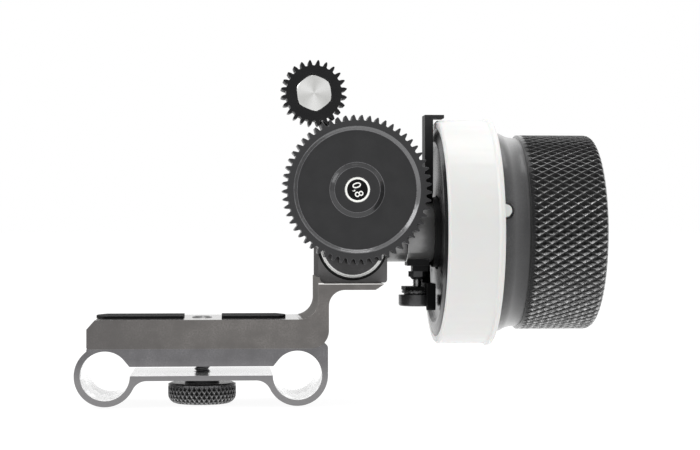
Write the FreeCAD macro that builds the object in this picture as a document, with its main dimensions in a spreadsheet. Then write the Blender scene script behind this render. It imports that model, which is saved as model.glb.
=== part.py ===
import FreeCAD, Part

import math
import os
import re

import Sketcher

# Follow focus unit for a pair of 15 mm rods, in millimetres.
# Origin: midway between the two rod axes, on the front face of the rod clamp.
# X runs to the handwheel, Y away from the operator's gear side, Z up.

SIZES = [
    # rods and clamp
    ("rod_spacing", 60, "between the rod axes"),
    ("rod_bore", 7.72, "radius of the open clamp bore, for a 15 mm rod"),
    ("depth", 35, "clamp and bridge, front to back"),
    ("ring_radius", 9.6, "outside of a clamp ring"),
    ("slot_top", 2.9, "upper side of the clamping slot"),
    ("flex_bar", 1.55, "thickness of the springing lower bar"),
    ("flex_half", 24, "half length of the lower bar"),
    ("seam_z", 8.4, "clamp meets bridge"),
    # bridge
    ("bar_left", -35.7, "left end of the bar"),
    ("bar_top", 17.5, "top of the bar"),
    ("arm_left", 36.6, "inner side of the upright"),
    ("arm_right", 39.9, "outer side of the upright"),
    ("shelf_under", 26.7, "underside of the shelf"),
    ("shelf_top", 28.7, "gearbox stands here"),
    ("shelf_right", 57.2, "free end of the shelf"),
    ("strip", 0.8, "thickness of the strips on the bar"),
    ("heel", 5.5, "rounded heel of the bridge, seated in the clamp's lip"),
    ("cove", 2.2, "rounded lower corner of the gearbox, seated in the bridge's lip"),
    # gearbox
    ("box_left", 37.0, "gearbox left side"),
    ("box_right", 59.2, "gearbox right side"),
    ("box_front", 10, "gearbox front face"),
    ("box_back", 34, "gearbox rear face"),
    ("box_step", 52.5, "top of the low front part"),
    ("lobe_front", 19.5, "front of the spindle lobe"),
    ("cover_back", 36.4, "rear face of the rear cover"),
    ("cap_x", 48.1, "front cap centre"),
    ("cap_z", 40.8, "front cap centre"),
    ("cap_radius", 10.9, "front cap"),
    # axes
    ("knob_y", 22, "handwheel axis"),
    ("knob_z", 44.9, "handwheel axis"),
    ("gear_x", 48.86, "drive gear axis"),
    ("gear_z", 58.23, "drive gear axis"),
    ("train_distance", 13.35, "cross shaft to spindle"),
    ("mesh_distance", 33.3, "drive gear to small gear"),
    ("mesh_angle", 114.2, "from +X to the small gear"),
    ("screw_y", 17.5, "clamp screw axis"),
    ("lock_x", 70.2, "thumb screw axis"),
    # gears
    ("drive_module", 0.8, "drive gear and small gear"),
    ("drive_teeth", 57, "drive gear"),
    ("small_teeth", 24, "small gear"),
    ("gear_width", 8, "drive gear and small gear"),
    ("train_module", 0.7, "spur pair in the gearbox"),
    ("train_teeth", 19, "each gear of the spur pair"),
    ("bevel_module", 0.5, "bevel pair"),
    ("bevel_teeth", 18, "each bevel gear"),
    # fits
    ("run_gap", 0.05, "radial play of a running fit"),
    ("seat_gap", 0.02, "radial play of a seated part"),
    # shafts
    ("wheel_shaft", 3, "handwheel shaft radius"),
    ("cross_radius", 2, "cross shaft radius"),
    ("spindle_radius", 2.5, "gear spindle radius"),
    ("axle_radius", 3, "journal of the hexagon axle"),
    ("hexagon", 10.6, "across the flats of the hexagon axle"),
    ("bush_radius", 5, "handwheel bushes, outside"),
    # bearing housing and index plate
    ("flange_right", 66.1, "bearing flange, right side"),
    ("house_left", 66.3, "bearing housing, left side"),
    ("house_right", 75.0, "bearing housing and index plate, right side"),
    ("house_radius", 9.7, "flange and housing"),
    ("spigot", 7, "registers between box, flange and housing"),
    ("collar_right", 77.4, "housing collar, right side"),
    ("collar_radius", 11.5, "housing collar"),
    ("index_left", 72.3, "index plate, left side"),
    ("index_top", 83.1, "top of the witness tab"),
    ("foot_low", 25.9, "underside of the index plate's foot"),
    ("foot_top", 27.1, "top of the foot"),
    # handwheel
    ("plate_left", 75.4, "backing plate, rear face"),
    ("plate_right", 77.6, "backing plate, front face"),
    ("plate_dish", 76.6, "rear face of the plate inside its rim"),
    ("plate_radius", 34, "backing plate"),
    ("disc_left", 76.1, "marking disc, left edge"),
    ("disc_right", 93.6, "marking disc, right edge"),
    ("disc_radius", 36.5, "marking disc"),
    ("core_radius", 24, "hub core"),
    ("flange_radius", 32.4, "hub flange beside the disc"),
    ("neck_radius", 30.9, "hub neck"),
    ("grip_left", 102.4, "grip, left end"),
    ("grip_radius", 31.8, "grip, over the ridges of its knurl"),
    ("grip_lead", 0.3, "lead-in to the grip's knurl"),
    ("grip_drop", 0.95, "the lead-in starts smaller by this"),
    ("grip_straight", 22.06, "straight part of the grip's knurl"),
    ("grip_corner", 2.5, "rounding of the grip's right corner"),
    ("grip_groove", 0.75, "depth of the grip's knurl"),
    ("grip_rise", 4.19, "diamond of the grip's knurl, along the axis"),
    ("grip_rows", 6, "diamonds along the grip"),
    ("grip_around", 80, "diamonds round the grip"),
    ("hub_right", 125.4, "hub core, right end"),
    ("tab_x", 94.3, "locating tab of the marking disc"),
    ("tab_turn", 78, "turn of the tab about the handwheel axis"),
    # clamp screw
    ("knob_top", -3.4, "clamp knob, top"),
    ("clamp_knob_radius", 10.9, "clamp knob, over the ridges of its knurl"),
    ("clamp_knob_lead", 0.4, "lead-in to the knob's knurl, from above"),
    ("clamp_knob_drop", 0.9, "the lead-in starts smaller by this"),
    ("clamp_knob_straight", 3.3, "straight part of the knob's knurl"),
    ("clamp_knob_corner", 3, "rounding of the knob's lower corner"),
    ("clamp_knob_groove", 0.5, "depth of the knob's knurl"),
    ("clamp_knob_rise", 2.64, "diamond of the knob's knurl, along the axis"),
    ("clamp_knob_rows", 3, "diamonds down the knob"),
    ("clamp_knob_around", 42, "diamonds round the knob"),
    ("clamp_shank", 2.5, "clamp screw radius"),
    ("clamp_sunk", 4.5, "clamp screw, let into the knob"),
    # thumb screw
    ("thumb_low", 20.7, "thumb wheel, underside"),
    ("thumb_top", 24.4, "thumb wheel, top"),
    ("thumb_radius", 6.1, "thumb wheel"),
]

ALIASES = {alias for alias, value, note in SIZES}
DOC = FreeCAD.newDocument("FollowFocus")
SHEET = DOC.addObject("Spreadsheet::Sheet", "Sizes")
PARTS = []


def fill_sheet():
    """One row per driving dimension: value, alias and what it measures."""
    for row, (alias, value, note) in enumerate(SIZES, start=1):
        SHEET.set("A%d" % row, str(value))
        SHEET.setAlias("A%d" % row, alias)
        SHEET.set("B%d" % row, note)
    DOC.recompute()


def bound(text):
    """A formula over the aliases, written so that FreeCAD reads the sheet."""
    return re.sub(r"[a-z][a-z_]*", lambda w: ("Sizes." if w.group() in ALIASES else "") + w.group(), text)


def size(text):
    """Present value of a formula over the aliases."""
    return float(SHEET.evalExpression(bound(text)))


def drive(thing, target, text):
    thing.setExpression(target, bound(text))


# ---------------------------------------------------------------- building steps


def new_body(label, x="0", y="0", z="0"):
    body = DOC.addObject("PartDesign::Body", label)
    body.Label = label
    body.AllowCompound = True
    drive(body, "Placement.Base.x", x)
    drive(body, "Placement.Base.y", y)
    drive(body, "Placement.Base.z", z)
    PARTS.append(body)
    return body


def turn_body(body, axis, text):
    """Turn a body about its own X, Y or Z."""
    body.Placement = FreeCAD.Placement(body.Placement.Base, FreeCAD.Rotation(axis, 1))
    drive(body, "Placement.Rotation.Angle", text)


def new_sketch(body, role, shift=("0", "0", "0")):
    """Sketch on one of the body's own origin planes, moved by shift in the plane's directions."""
    sketch = body.newObject("Sketcher::SketchObject", body.Name + "_sketch")
    plane = next(item for item in body.Origin.OriginFeatures if item.Role == role)
    sketch.AttachmentSupport = [(plane, "")]
    sketch.MapMode = "FlatFace"
    for name, text in zip("xyz", shift):
        drive(sketch, "AttachmentOffset.Base." + name, text)
    return sketch


def tie(sketch, kind, where, text):
    """Dimension with a formula; where is the geometry that Sketcher asks for."""
    number = sketch.addConstraint(Sketcher.Constraint(kind, *where, size(text)))
    drive(sketch, "Constraints[%d]" % number, text)


def outline(sketch, corners):
    """Closed outline of straight edges with every corner dimensioned from the origin."""
    first = sketch.GeometryCount
    points = [FreeCAD.Vector(size(x), size(y), 0) for x, y in corners]
    count = len(points)
    for index in range(count):
        edge = Part.LineSegment(points[index], points[(index + 1) % count])
        sketch.addGeometry(edge, False)
    for index in range(count):
        after = first + (index + 1) % count
        sketch.addConstraint(Sketcher.Constraint("Coincident", first + index, 2, after, 1))
    for index, (x, y) in enumerate(corners):
        tie(sketch, "DistanceX", (-1, 1, first + index, 1), x)
        tie(sketch, "DistanceY", (-1, 1, first + index, 1), y)
    return sketch


def rectangle(sketch, left, low, right, high):
    return outline(sketch, [(left, low), (right, low), (right, high), (left, high)])


def circle(sketch, x, y, radius):
    centre = FreeCAD.Vector(size(x), size(y), 0)
    number = sketch.addGeometry(Part.Circle(centre, FreeCAD.Vector(0, 0, 1), size(radius)), False)
    tie(sketch, "DistanceX", (-1, 1, number, 3), x)
    tie(sketch, "DistanceY", (-1, 1, number, 3), y)
    tie(sketch, "Radius", (number,), radius)
    return sketch


def pad(body, sketch, length, reverse=False):
    feature = body.newObject("PartDesign::Pad", body.Name + "_pad")
    feature.Profile = sketch
    feature.Reversed = reverse
    drive(feature, "Length", length)
    DOC.recompute()
    return feature


def cut_volume(body, before):
    """Stop if the last cut took nothing away."""
    if body.Shape.Volume > before - 1e-3:
        raise RuntimeError("%s: a cut removed nothing" % body.Label)


def pocket(body, sketch, length, reverse=False):
    DOC.recompute()
    before = body.Shape.Volume
    feature = body.newObject("PartDesign::Pocket", body.Name + "_pocket")
    feature.Profile = sketch
    feature.Reversed = reverse
    drive(feature, "Length", length)
    DOC.recompute()
    cut_volume(body, before)
    return feature


TURNING = {"X": ("XZ_Plane", "H_Axis"), "Y": ("XY_Plane", "V_Axis"), "Z": ("XZ_Plane", "V_Axis")}


def turned_sketch(body, way, corners, shift):
    """Half section for turning about X, Y or Z; corners are (along, radius)."""
    role, axis = TURNING[way]
    sketch = new_sketch(body, role, shift)
    outline(sketch, corners if way == "X" else [(radius, along) for along, radius in corners])
    return sketch, axis


def turn(body, way, corners, shift=("0", "0", "0")):
    sketch, axis = turned_sketch(body, way, corners, shift)
    feature = body.newObject("PartDesign::Revolution", body.Name + "_turn")
    feature.Profile = sketch
    feature.ReferenceAxis = (sketch, [axis])
    feature.Angle = 360
    DOC.recompute()
    return feature


def bore(body, way, corners, shift=("0", "0", "0")):
    """Turned cut: a stepped bore, a recess or a groove."""
    DOC.recompute()
    before = body.Shape.Volume
    sketch, axis = turned_sketch(body, way, corners, shift)
    feature = body.newObject("PartDesign::Groove", body.Name + "_bore")
    feature.Profile = sketch
    feature.ReferenceAxis = (sketch, [axis])
    feature.Angle = 360
    DOC.recompute()
    cut_volume(body, before)
    return feature


def straight_edges(shape, way, spots):
    """Names of the edges along X, Y or Z that pass near the given spots of the other two axes."""
    keep = {"X": ("y", "z"), "Y": ("x", "z"), "Z": ("x", "y")}[way]
    names = []
    for number, edge in enumerate(shape.Edges, start=1):
        if edge.Curve.TypeId != "Part::GeomLine":
            continue
        if abs(getattr(edge.tangentAt(edge.FirstParameter), way.lower())) < 0.999:
            continue
        middle = edge.CenterOfMass
        here = (getattr(middle, keep[0]), getattr(middle, keep[1]))
        if any(math.dist(here, spot) < 0.3 for spot in spots):
            names.append("Edge%d" % number)
    return names


def rim_edges(shape, way, along, radius):
    """Names of the full circles about an axis at a place along it."""
    names = []
    for number, edge in enumerate(shape.Edges, start=1):
        if edge.Curve.TypeId != "Part::GeomCircle" or abs(edge.Curve.Radius - radius) > 0.01:
            continue
        if abs(getattr(edge.Curve.Center, way.lower()) - along) < 0.01:
            names.append("Edge%d" % number)
    return names


def finish_edges(body, kind, names, amount):
    """Fillet or chamfer on named edges of the body's tip."""
    if not names:
        raise RuntimeError("%s: no edge to finish" % body.Label)
    base = body.Tip
    feature = body.newObject("PartDesign::" + kind, body.Name + "_" + kind.lower())
    feature.Base = (base, names)
    drive(feature, "Radius" if kind == "Fillet" else "Size", amount)
    DOC.recompute()
    return feature


def round_corners(body, way, corners, amount, kind="Fillet"):
    spots = [(size(a), size(b)) for a, b in corners]
    shape = body.Tip.Shape
    finish_edges(body, kind, straight_edges(shape, way, spots), amount)


def round_rim(body, way, along, radius, amount, kind="Fillet"):
    finish_edges(body, kind, rim_edges(body.Tip.Shape, way, size(along), size(radius)), amount)


def ring(label, way, place, start, end, inner, outer):
    """Bush, washer, spacer or collar: a plain ring about an axis."""
    body = new_body(label, *place)
    turn(body, way, [(start, inner), (end, inner), (end, outer), (start, outer)])
    return body


def computed(label, shape, x="0", y="0", z="0"):
    """Part::Feature for a shape that is worked out here; its place stays bound to the sheet."""
    item = DOC.addObject("Part::Feature", label)
    item.Label = label
    item.Shape = shape
    drive(item, "Placement.Base.x", x)
    drive(item, "Placement.Base.y", y)
    drive(item, "Placement.Base.z", z)
    PARTS.append(item)
    return item


# ---------------------------------------------------------------- fasteners


def cap_screw(shank, length, head, head_height, socket):
    """Socket screw pointing down -Z, with the seat of its head at the origin."""
    solid = Part.makeCylinder(shank, length, FreeCAD.Vector(0, 0, -length))
    solid = solid.fuse(Part.makeCylinder(head, head_height))
    return solid.cut(hexagon_bar(socket, head_height * 0.6, head_height * 0.4))


def flat_screw(shank, length, head, socket):
    """Countersunk screw pointing down -Z, with the top of its head at the origin."""
    cone_height = head - shank
    solid = Part.makeCylinder(shank, length, FreeCAD.Vector(0, 0, -length))
    solid = solid.fuse(Part.makeCone(shank, head, cone_height, FreeCAD.Vector(0, 0, -cone_height)))
    return solid.cut(hexagon_bar(socket, cone_height * 0.7, -cone_height * 0.7))


def hexagon_bar(flats, height, base, turn_angle=0.0):
    """Hexagonal prism about Z."""
    corner = flats / math.sqrt(3)
    points = []
    for step in range(7):
        angle = math.radians(60 * step + turn_angle)
        points.append(FreeCAD.Vector(corner * math.cos(angle), corner * math.sin(angle), base))
    return Part.Face(Part.makePolygon(points)).extrude(FreeCAD.Vector(0, 0, height))


def screw_set(label, screw, points_to, places):
    """One node for a set of like screws, each a solid of its own."""
    aim = FreeCAD.Rotation(FreeCAD.Vector(0, 0, -1), FreeCAD.Vector(*points_to))
    copies = []
    for x, y, z in places:
        copy = screw.copy()
        copy.Placement = FreeCAD.Placement(FreeCAD.Vector(size(x), size(y), size(z)), aim)
        copies.append(copy)
    return computed(label, Part.makeCompound(copies))


# ---------------------------------------------------------------- gear teeth

PRESSURE = math.radians(20)


def involute(angle):
    return math.tan(angle) - angle


def half_tooth(radius, pitch_radius, half_at_pitch):
    """Half the angle that an involute tooth takes up at a radius."""
    base_radius = pitch_radius * math.cos(PRESSURE)
    here = math.acos(min(1.0, base_radius / max(radius, base_radius)))
    return half_at_pitch + involute(PRESSURE) - involute(here)


def spot(radius, angle):
    """Point in the XZ plane, the angle from +X towards +Z."""
    return FreeCAD.Vector(radius * math.cos(angle), 0, radius * math.sin(angle))


def tooth_ring(teeth, flank, root, first_tooth, join):
    """Outline of all the teeth; a flank is three (radius, half angle) from foot to tip."""
    edges = []
    pitch = 2 * math.pi / teeth
    for number in range(teeth):
        centre = math.radians(first_tooth) + pitch * number
        rising = [spot(radius, centre - half) for radius, half in flank]
        falling = [spot(radius, centre + half) for radius, half in reversed(flank)]
        next_foot = spot(flank[0][0], centre + pitch - flank[0][1])
        edges += join(*rising)
        edges.append(Part.makeLine(rising[2], falling[0]))
        edges += join(*falling)
        edges += join(falling[2], spot(root, centre + pitch / 2), next_foot)
    return Part.Wire(edges)


def curve(start, through, end):
    return [Part.Arc(start, through, end).toShape()]


def two_lines(start, through, end):
    return [Part.makeLine(start, through), Part.makeLine(through, end)]


def spur_wire(module, teeth, tip, root, play, first_tooth):
    """Outline of an involute spur gear, first_tooth degrees from +X towards +Z."""
    pitch_radius = module * teeth / 2
    half_at_pitch = (math.pi * module / 2 - play) / 2 / pitch_radius
    foot = root + 0.25 * module
    flank = [(radius, half_tooth(radius, pitch_radius, half_at_pitch))
             for radius in (foot, (foot + tip) / 2, tip)]
    return tooth_ring(teeth, flank, root, first_tooth, curve)


def turned_shape(corners):
    """Solid turned about Y; corners are (along, radius)."""
    points = [FreeCAD.Vector(radius, along, 0) for along, radius in corners]
    face = Part.Face(Part.makePolygon(points + points[:1]))
    return face.revolve(FreeCAD.Vector(0, 0, 0), FreeCAD.Vector(0, 1, 0), 360)


def bevel_solid(first_tooth):
    """Straight miter gear about +Y: its cone's apex at the origin, its big end behind.

    The teeth have the section of the equivalent spur gear on the back cone, and taper to
    the apex, so the small end is the big end's outline at a smaller scale.
    """
    module = size("bevel_module")
    teeth = int(size("bevel_teeth"))
    pitch_radius = module * teeth / 2
    cone = pitch_radius * math.sqrt(2)
    play = 0.3 * module
    half_at_pitch = (math.pi * module / 2 - play) / 2 / cone

    def section(height):
        """Plane radius and half angle at a height above the pitch cone."""
        radius = pitch_radius * math.tan(math.pi / 4 + math.atan(height / cone))
        width = (cone + height) * half_tooth(cone + height, cone, half_at_pitch)
        return radius, width / (pitch_radius + height * math.cos(math.pi / 4))

    flank = [section(height * module) for height in (-1.0, 0.0, 0.85)]
    root = section(-1.25 * module)[0]
    face_width = 0.36
    big = tooth_ring(teeth, flank, root, first_tooth, two_lines)
    small = big.copy()
    small.scale(1 - face_width)
    big.translate(FreeCAD.Vector(0, pitch_radius, 0))
    small.translate(FreeCAD.Vector(0, pitch_radius * (1 - face_width), 0))
    solid = Part.makeLoft([small, big], True, True)
    hub = Part.makeCylinder(3.3, 1.9, FreeCAD.Vector(0, pitch_radius, 0), FreeCAD.Vector(0, 1, 0))
    hole = turned_shape([(-5, 0), (-5, size("cross_radius")), (15, size("cross_radius")), (15, 0)])
    return solid.fuse(hub).cut(hole)


# ---------------------------------------------------------------- diamond knurling


def knurled_blank(name):
    """Solid about Z with a net of ridges up its side and over its round upper corner.

    The ridges cross at the nodes of the net and leave diamond-shaped pits. The net starts at
    height 0, where a cone leads in to it from a smaller lower end.
    """
    radius, corner, groove = size(name + "_radius"), size(name + "_corner"), size(name + "_groove")
    lead, drop = size(name + "_lead"), size(name + "_drop")
    straight, rise = size(name + "_straight"), size(name + "_rise")
    around, rows = int(size(name + "_around")), int(size(name + "_rows"))

    def place(column, row, sunk=0.0):
        """Point of the rolled net, counted in diamonds round and along."""
        bend = max(0.0, row * rise - straight) / corner
        lever = corner - sunk
        out = radius - corner + lever * math.cos(bend)
        up = min(row * rise, straight) + lever * math.sin(bend)
        return round_spot(out, column % around / around, up)

    faces = []
    for half_row in range(1, 2 * rows):
        row = half_row / 2
        for number in range(around):
            column = number + (half_row + 1) % 2 / 2
            nodes = [place(column - 0.5, row), place(column, row - 0.5),
                     place(column + 0.5, row), place(column, row + 0.5)]
            pit = place(column, row, groove)
            faces += [flat_face([nodes[side - 1], nodes[side], pit]) for side in range(4)]
    rim = []
    for number in range(around):
        rim += [place(number, 0), place(number + 0.5, 0, groove)]
        first_node = place(number + 0.5, 0.5)
        faces.append(flat_face([place(number, 0), first_node, place(number + 0.5, 0, groove)]))
        faces.append(flat_face([place(number + 1, 0), first_node, place(number + 0.5, 0, groove)]))
        faces.append(flat_face([place(number, rows), place(number + 1, rows),
                                place(number + 0.5, rows - 0.5)]))
    foot = [round_spot(radius - drop, number / 2 / around, -lead) for number in range(2 * around)]
    for number in range(2 * around):
        faces.append(flat_face([rim[number - 1], rim[number], foot[number - 1]]))
        faces.append(flat_face([rim[number], foot[number], foot[number - 1]]))
    faces.append(flat_face(foot))
    faces.append(flat_face([place(number, rows) for number in range(around)]))
    return Part.makeSolid(Part.makeShell(faces))


def round_spot(radius, share, up):
    """Point about Z, a share of a full turn from +X."""
    angle = 2 * math.pi * share
    return FreeCAD.Vector(radius * math.cos(angle), radius * math.sin(angle), up)


def flat_face(points):
    return Part.Face(Part.makePolygon(points + points[:1]))


# ---------------------------------------------------------------- rod clamp and bridge


def rod_clamp():
    """Two split rings joined by a plate and a thin bar that springs when the knob is tightened."""
    body = new_body("rod_clamp")
    plate = new_sketch(body, "XZ_Plane")
    outline(plate, [("bar_left", "1"), ("arm_right - 0.3", "1"), ("arm_right - 0.3", "seam_z + 1.5"),
                    ("arm_right - heel", "seam_z + 1.5"), ("arm_right - heel", "seam_z"),
                    ("bar_left", "seam_z")])
    pad(body, plate, "depth", True)
    round_corners(body, "Y", [("arm_right - 0.3", "seam_z + 1.5")], "1.4")
    rings = new_sketch(body, "XZ_Plane")
    circle(rings, "-rod_spacing / 2", "0", "ring_radius")
    circle(rings, "rod_spacing / 2", "0", "ring_radius")
    pad(body, rings, "depth", True)
    bar = new_sketch(body, "XZ_Plane")
    rectangle(bar, "-flex_half", "-flex_bar", "flex_half", "2")
    pad(body, bar, "depth", True)
    slot = new_sketch(body, "XZ_Plane")
    rectangle(slot, "-flex_half", "0", "flex_half", "slot_top")
    pocket(body, slot, "depth")
    top = new_sketch(body, "XZ_Plane")
    rectangle(top, "-rod_spacing", "seam_z", "arm_right - heel", "ring_radius + 1")
    pocket(body, top, "depth")
    lip = new_sketch(body, "XZ_Plane")
    circle(lip, "arm_right - heel", "seam_z + heel", "heel + seat_gap")
    pocket(body, lip, "depth")
    bores = new_sketch(body, "XZ_Plane")
    circle(bores, "-rod_spacing / 2", "0", "rod_bore")
    circle(bores, "rod_spacing / 2", "0", "rod_bore")
    pocket(body, bores, "depth")
    for side in ("-1", "1"):
        relief = new_sketch(body, "XZ_Plane")
        outline(relief, [ring_spot(side, "5.9", "4.95"), ring_spot(side, "7.6", "slot_top"),
                         ring_spot(side, "5.9", "slot_top")])
        pocket(body, relief, "depth")
    root = math.sqrt(size("ring_radius") ** 2 - size("flex_bar") ** 2)
    reach = size("rod_spacing / 2") - root
    spots = [(-reach, -size("flex_bar")), (reach, -size("flex_bar"))]
    finish_edges(body, "Fillet", straight_edges(body.Tip.Shape, "Y", spots), "ring_radius / 2")
    holes = new_sketch(body, "XY_Plane", ("0", "0", "seam_z"))
    for x, y in CLAMP_SCREWS:
        circle(holes, x, y, "1.5 + seat_gap")
    pocket(body, holes, "seam_z - slot_top - 0.5")
    through = new_sketch(body, "XY_Plane", ("0", "0", "seam_z"))
    circle(through, "0", "screw_y", "3.15")
    pocket(body, through, "seam_z - 2")
    clearance = new_sketch(body, "XY_Plane", ("0", "0", "1"))
    circle(clearance, "0", "screw_y", "2.75")
    pocket(body, clearance, "4")


def ring_spot(side, inward, up):
    """Corner beside a rod bore, a step inward from the rod's axis; side is -1 left, 1 right."""
    return "%s * (rod_spacing / 2 - (%s))" % (side, inward), up


CLAMP_SCREWS = [(x, y) for x in ("-15", "15") for y in ("10.5", "23.5")]


def bridge_bracket():
    """Z-shaped bridge: bar over the clamp, upright, and the shelf that carries the gearbox."""
    body = new_body("bridge_bracket")
    side = new_sketch(body, "XZ_Plane")
    outline(side, [
        ("bar_left", "seam_z"), ("arm_right", "seam_z"), ("arm_right", "shelf_under"),
        ("shelf_right - 2.6", "shelf_under"), ("shelf_right", "shelf_top - 0.3"),
        ("shelf_right", "shelf_top"), ("arm_left + 0.4", "shelf_top"),
        ("arm_left + 0.4", "shelf_top + cove - 0.3"), ("arm_left", "shelf_top + cove - 0.3"),
        ("arm_left", "bar_top"),
        ("bar_left + 2.6", "bar_top"), ("bar_left", "bar_top - 2.9"),
    ])
    pad(body, side, "depth", True)
    round_corners(body, "Y", [("arm_left", "bar_top")], "6")
    round_corners(body, "Y", [("arm_right", "shelf_under")], "5")
    round_corners(body, "Y", [("arm_right", "seam_z")], "heel")
    round_corners(body, "Y", [("bar_left", "seam_z")], "0.6")
    round_corners(body, "Y", [("arm_left + 0.4", "shelf_top")], "cove - 0.35")
    seats = new_sketch(body, "XY_Plane", ("0", "0", "bar_top"))
    for x, y in CLAMP_SCREWS:
        circle(seats, x, y, "2.75 + run_gap")
    pocket(body, seats, "3.6")
    shanks = new_sketch(body, "XY_Plane", ("0", "0", "bar_top - 3"))
    for x, y in CLAMP_SCREWS:
        circle(shanks, x, y, "1.6")
    pocket(body, shanks, "8")
    middle = new_sketch(body, "XY_Plane", ("0", "0", "bar_top"))
    circle(middle, "0", "screw_y", "3.15")
    pocket(body, middle, "bar_top - seam_z")
    for x, y in BOX_SCREWS:
        bore(body, "Z", [("shelf_under", "0"), ("shelf_under", "2.9"), ("shelf_under + 1.4", "1.5"),
                         ("shelf_top", "1.5"), ("shelf_top", "0")], (x, "0", "-(%s)" % y))


BOX_SCREWS = [("42", "14"), ("54", "14"), ("48", "30")]


def clamp_fasteners():
    screws = [(x, y, "bar_top - 3.6") for x, y in CLAMP_SCREWS]
    screw_set("clamp_screws", cap_screw(1.5, 10.5, 2.75, 3, 2.5), (0, 0, -1), screws)
    bush = ring("clamp_bush", "Z", ("0", "screw_y", "0"), "slot_top", "bar_top + 0.3", "2.55", "3.15")
    round_rim(bush, "Z", "bar_top + 0.3", "3.15", "0.2", "Chamfer")


def grip_strip(label, inner, outer, bow):
    """Black strip on the bar, square towards the bush and bowed at its outer end."""
    body = new_body(label, "0", "0", "bar_top")
    plan = new_sketch(body, "XY_Plane")
    outline(plan, [(inner, "7.7"), (inner, "27.3"), (outer + bow, "27.3"), (outer, "21"), (outer, "14"),
                   (outer + bow, "7.7")])
    pad(body, plan, "strip")
    round_corners(body, "Z", [(outer, "21"), (outer, "14")], "6")


# ---------------------------------------------------------------- gearbox


def box_outline(body, front, back):
    """Block with the round lobe of the spindle on top, from front to back."""
    shift = ("0", "0", "-(%s)" % front)
    length = "%s - (%s)" % (back, front)
    block = new_sketch(body, "XZ_Plane", shift)
    outline(block, [("box_left", "shelf_top"), ("box_right", "shelf_top"), ("box_right", "gear_z"),
                    ("gear_x - (box_right - gear_x)", "gear_z"), ("box_left", "box_step")])
    pad(body, block, length, True)
    lobe = new_sketch(body, "XZ_Plane", shift)
    circle(lobe, "gear_x", "gear_z", "box_right - gear_x")
    pad(body, lobe, length, True)


def gearbox_housing():
    """Machined box: open at the back for the gears, bored for the three shafts."""
    body = new_body("gearbox_housing")
    low = new_sketch(body, "XZ_Plane", ("0", "0", "-box_front"))
    rectangle(low, "box_left", "shelf_top", "box_right", "box_step")
    pad(body, low, "box_back - box_front", True)
    box_outline(body, "lobe_front", "box_back")
    round_corners(body, "Y", [("box_right", "shelf_top")], "1")
    round_corners(body, "Y", [("box_left", "shelf_top")], "cove")
    bore(body, "Y", [("box_front", "0"), ("box_front", "cap_radius + run_gap"),
                     ("box_front + 1.2", "cap_radius + run_gap"), ("box_front + 1.2", "0")],
         ("cap_x", "0", "cap_z"))
    bore(body, "Y", [("box_front", "0"), ("box_front", "4"), ("box_front + 5.8", "4"),
                     ("box_front + 5.8", "5.9"), ("lobe_front + 10", "5.9"), ("lobe_front + 10", "7.8"),
                     ("box_back", "7.8"), ("box_back", "0")], (CROSS_X, "0", "knob_z"))
    bore(body, "X", [(CROSS_X, "0"), (CROSS_X, "5.9"), ("box_right - 3.6", "5.9"),
                     ("box_right - 3.6", "spigot"), ("box_right", "spigot"), ("box_right", "0")],
         ("0", "knob_z", "-knob_y"))
    bore(body, "Y", [("lobe_front", "0"), ("lobe_front", "4.5"), ("lobe_front + 10", "4.5"),
                     ("lobe_front + 10", "7.5"), ("box_back", "7.5"), ("box_back", "0")],
         ("gear_x", "0", "gear_z"))
    for x, y in BOX_SCREWS:
        bore(body, "Z", [("shelf_top", "0"), ("shelf_top", "1.5 + seat_gap"),
                         ("shelf_top + 7", "1.5 + seat_gap"), ("shelf_top + 7", "0")],
             (x, "0", "-(%s)" % y))
    for x, z in COVER_SCREWS:
        bore(body, "Y", [("box_back - 5", "0"), ("box_back - 5", "0.8"), ("box_back", "0.8"),
                         ("box_back", "0")], (x, "0", z))
    for x, z in ARM_SCREWS:
        bore(body, "Y", [("lobe_front", "0"), ("lobe_front", "1.25 + seat_gap"),
                         ("lobe_front + 5.5", "1.25 + seat_gap"), ("lobe_front + 5.5", "0")],
             (x, "0", z))


CROSS_X = "gear_x - sqrt(train_distance ^ 2 - (gear_z - knob_z) ^ 2)"
COVER_SCREWS = [("39.1", "31"), ("57.1", "31"), ("57", "52.3"), ("39.1", "50.8")]
ARM_SCREWS = [("gear_x - 6.8", "gear_z + 0.5"), ("gear_x + 6.8", "gear_z + 0.5")]


def rear_cover():
    body = new_body("rear_cover")
    box_outline(body, "box_back", "cover_back")
    round_corners(body, "Y", [("box_right", "shelf_top")], "1")
    round_corners(body, "Y", [("box_left", "shelf_top")], "cove")
    bore(body, "Y", [("box_back", "0"), ("box_back", "4"), ("cover_back", "4"), ("cover_back", "0")],
         (CROSS_X, "0", "knob_z"))
    for x, z in COVER_SCREWS:
        bore(body, "Y", [("box_back", "0"), ("box_back", "0.85"), ("cover_back", "0.85"),
                         ("cover_back", "0")], (x, "0", z))


def box_fasteners():
    from_below = [(x, y, "shelf_under") for x, y in BOX_SCREWS]
    screw_set("housing_screws", flat_screw(1.5, 8, 2.85, 2), (0, 0, 1), from_below)
    from_behind = [(x, "cover_back", z) for x, z in COVER_SCREWS]
    screw_set("cover_screws", cap_screw(0.75, 6.4, 1.5, 1.2, 1.3), (0, -1, 0), from_behind)
    on_the_arm = [(x, "lobe_front - 4.5", z) for x, z in ARM_SCREWS]
    screw_set("arm_screws", flat_screw(1.25, 9.5, 2.35, 1.5), (0, 1, 0), on_the_arm)


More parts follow.
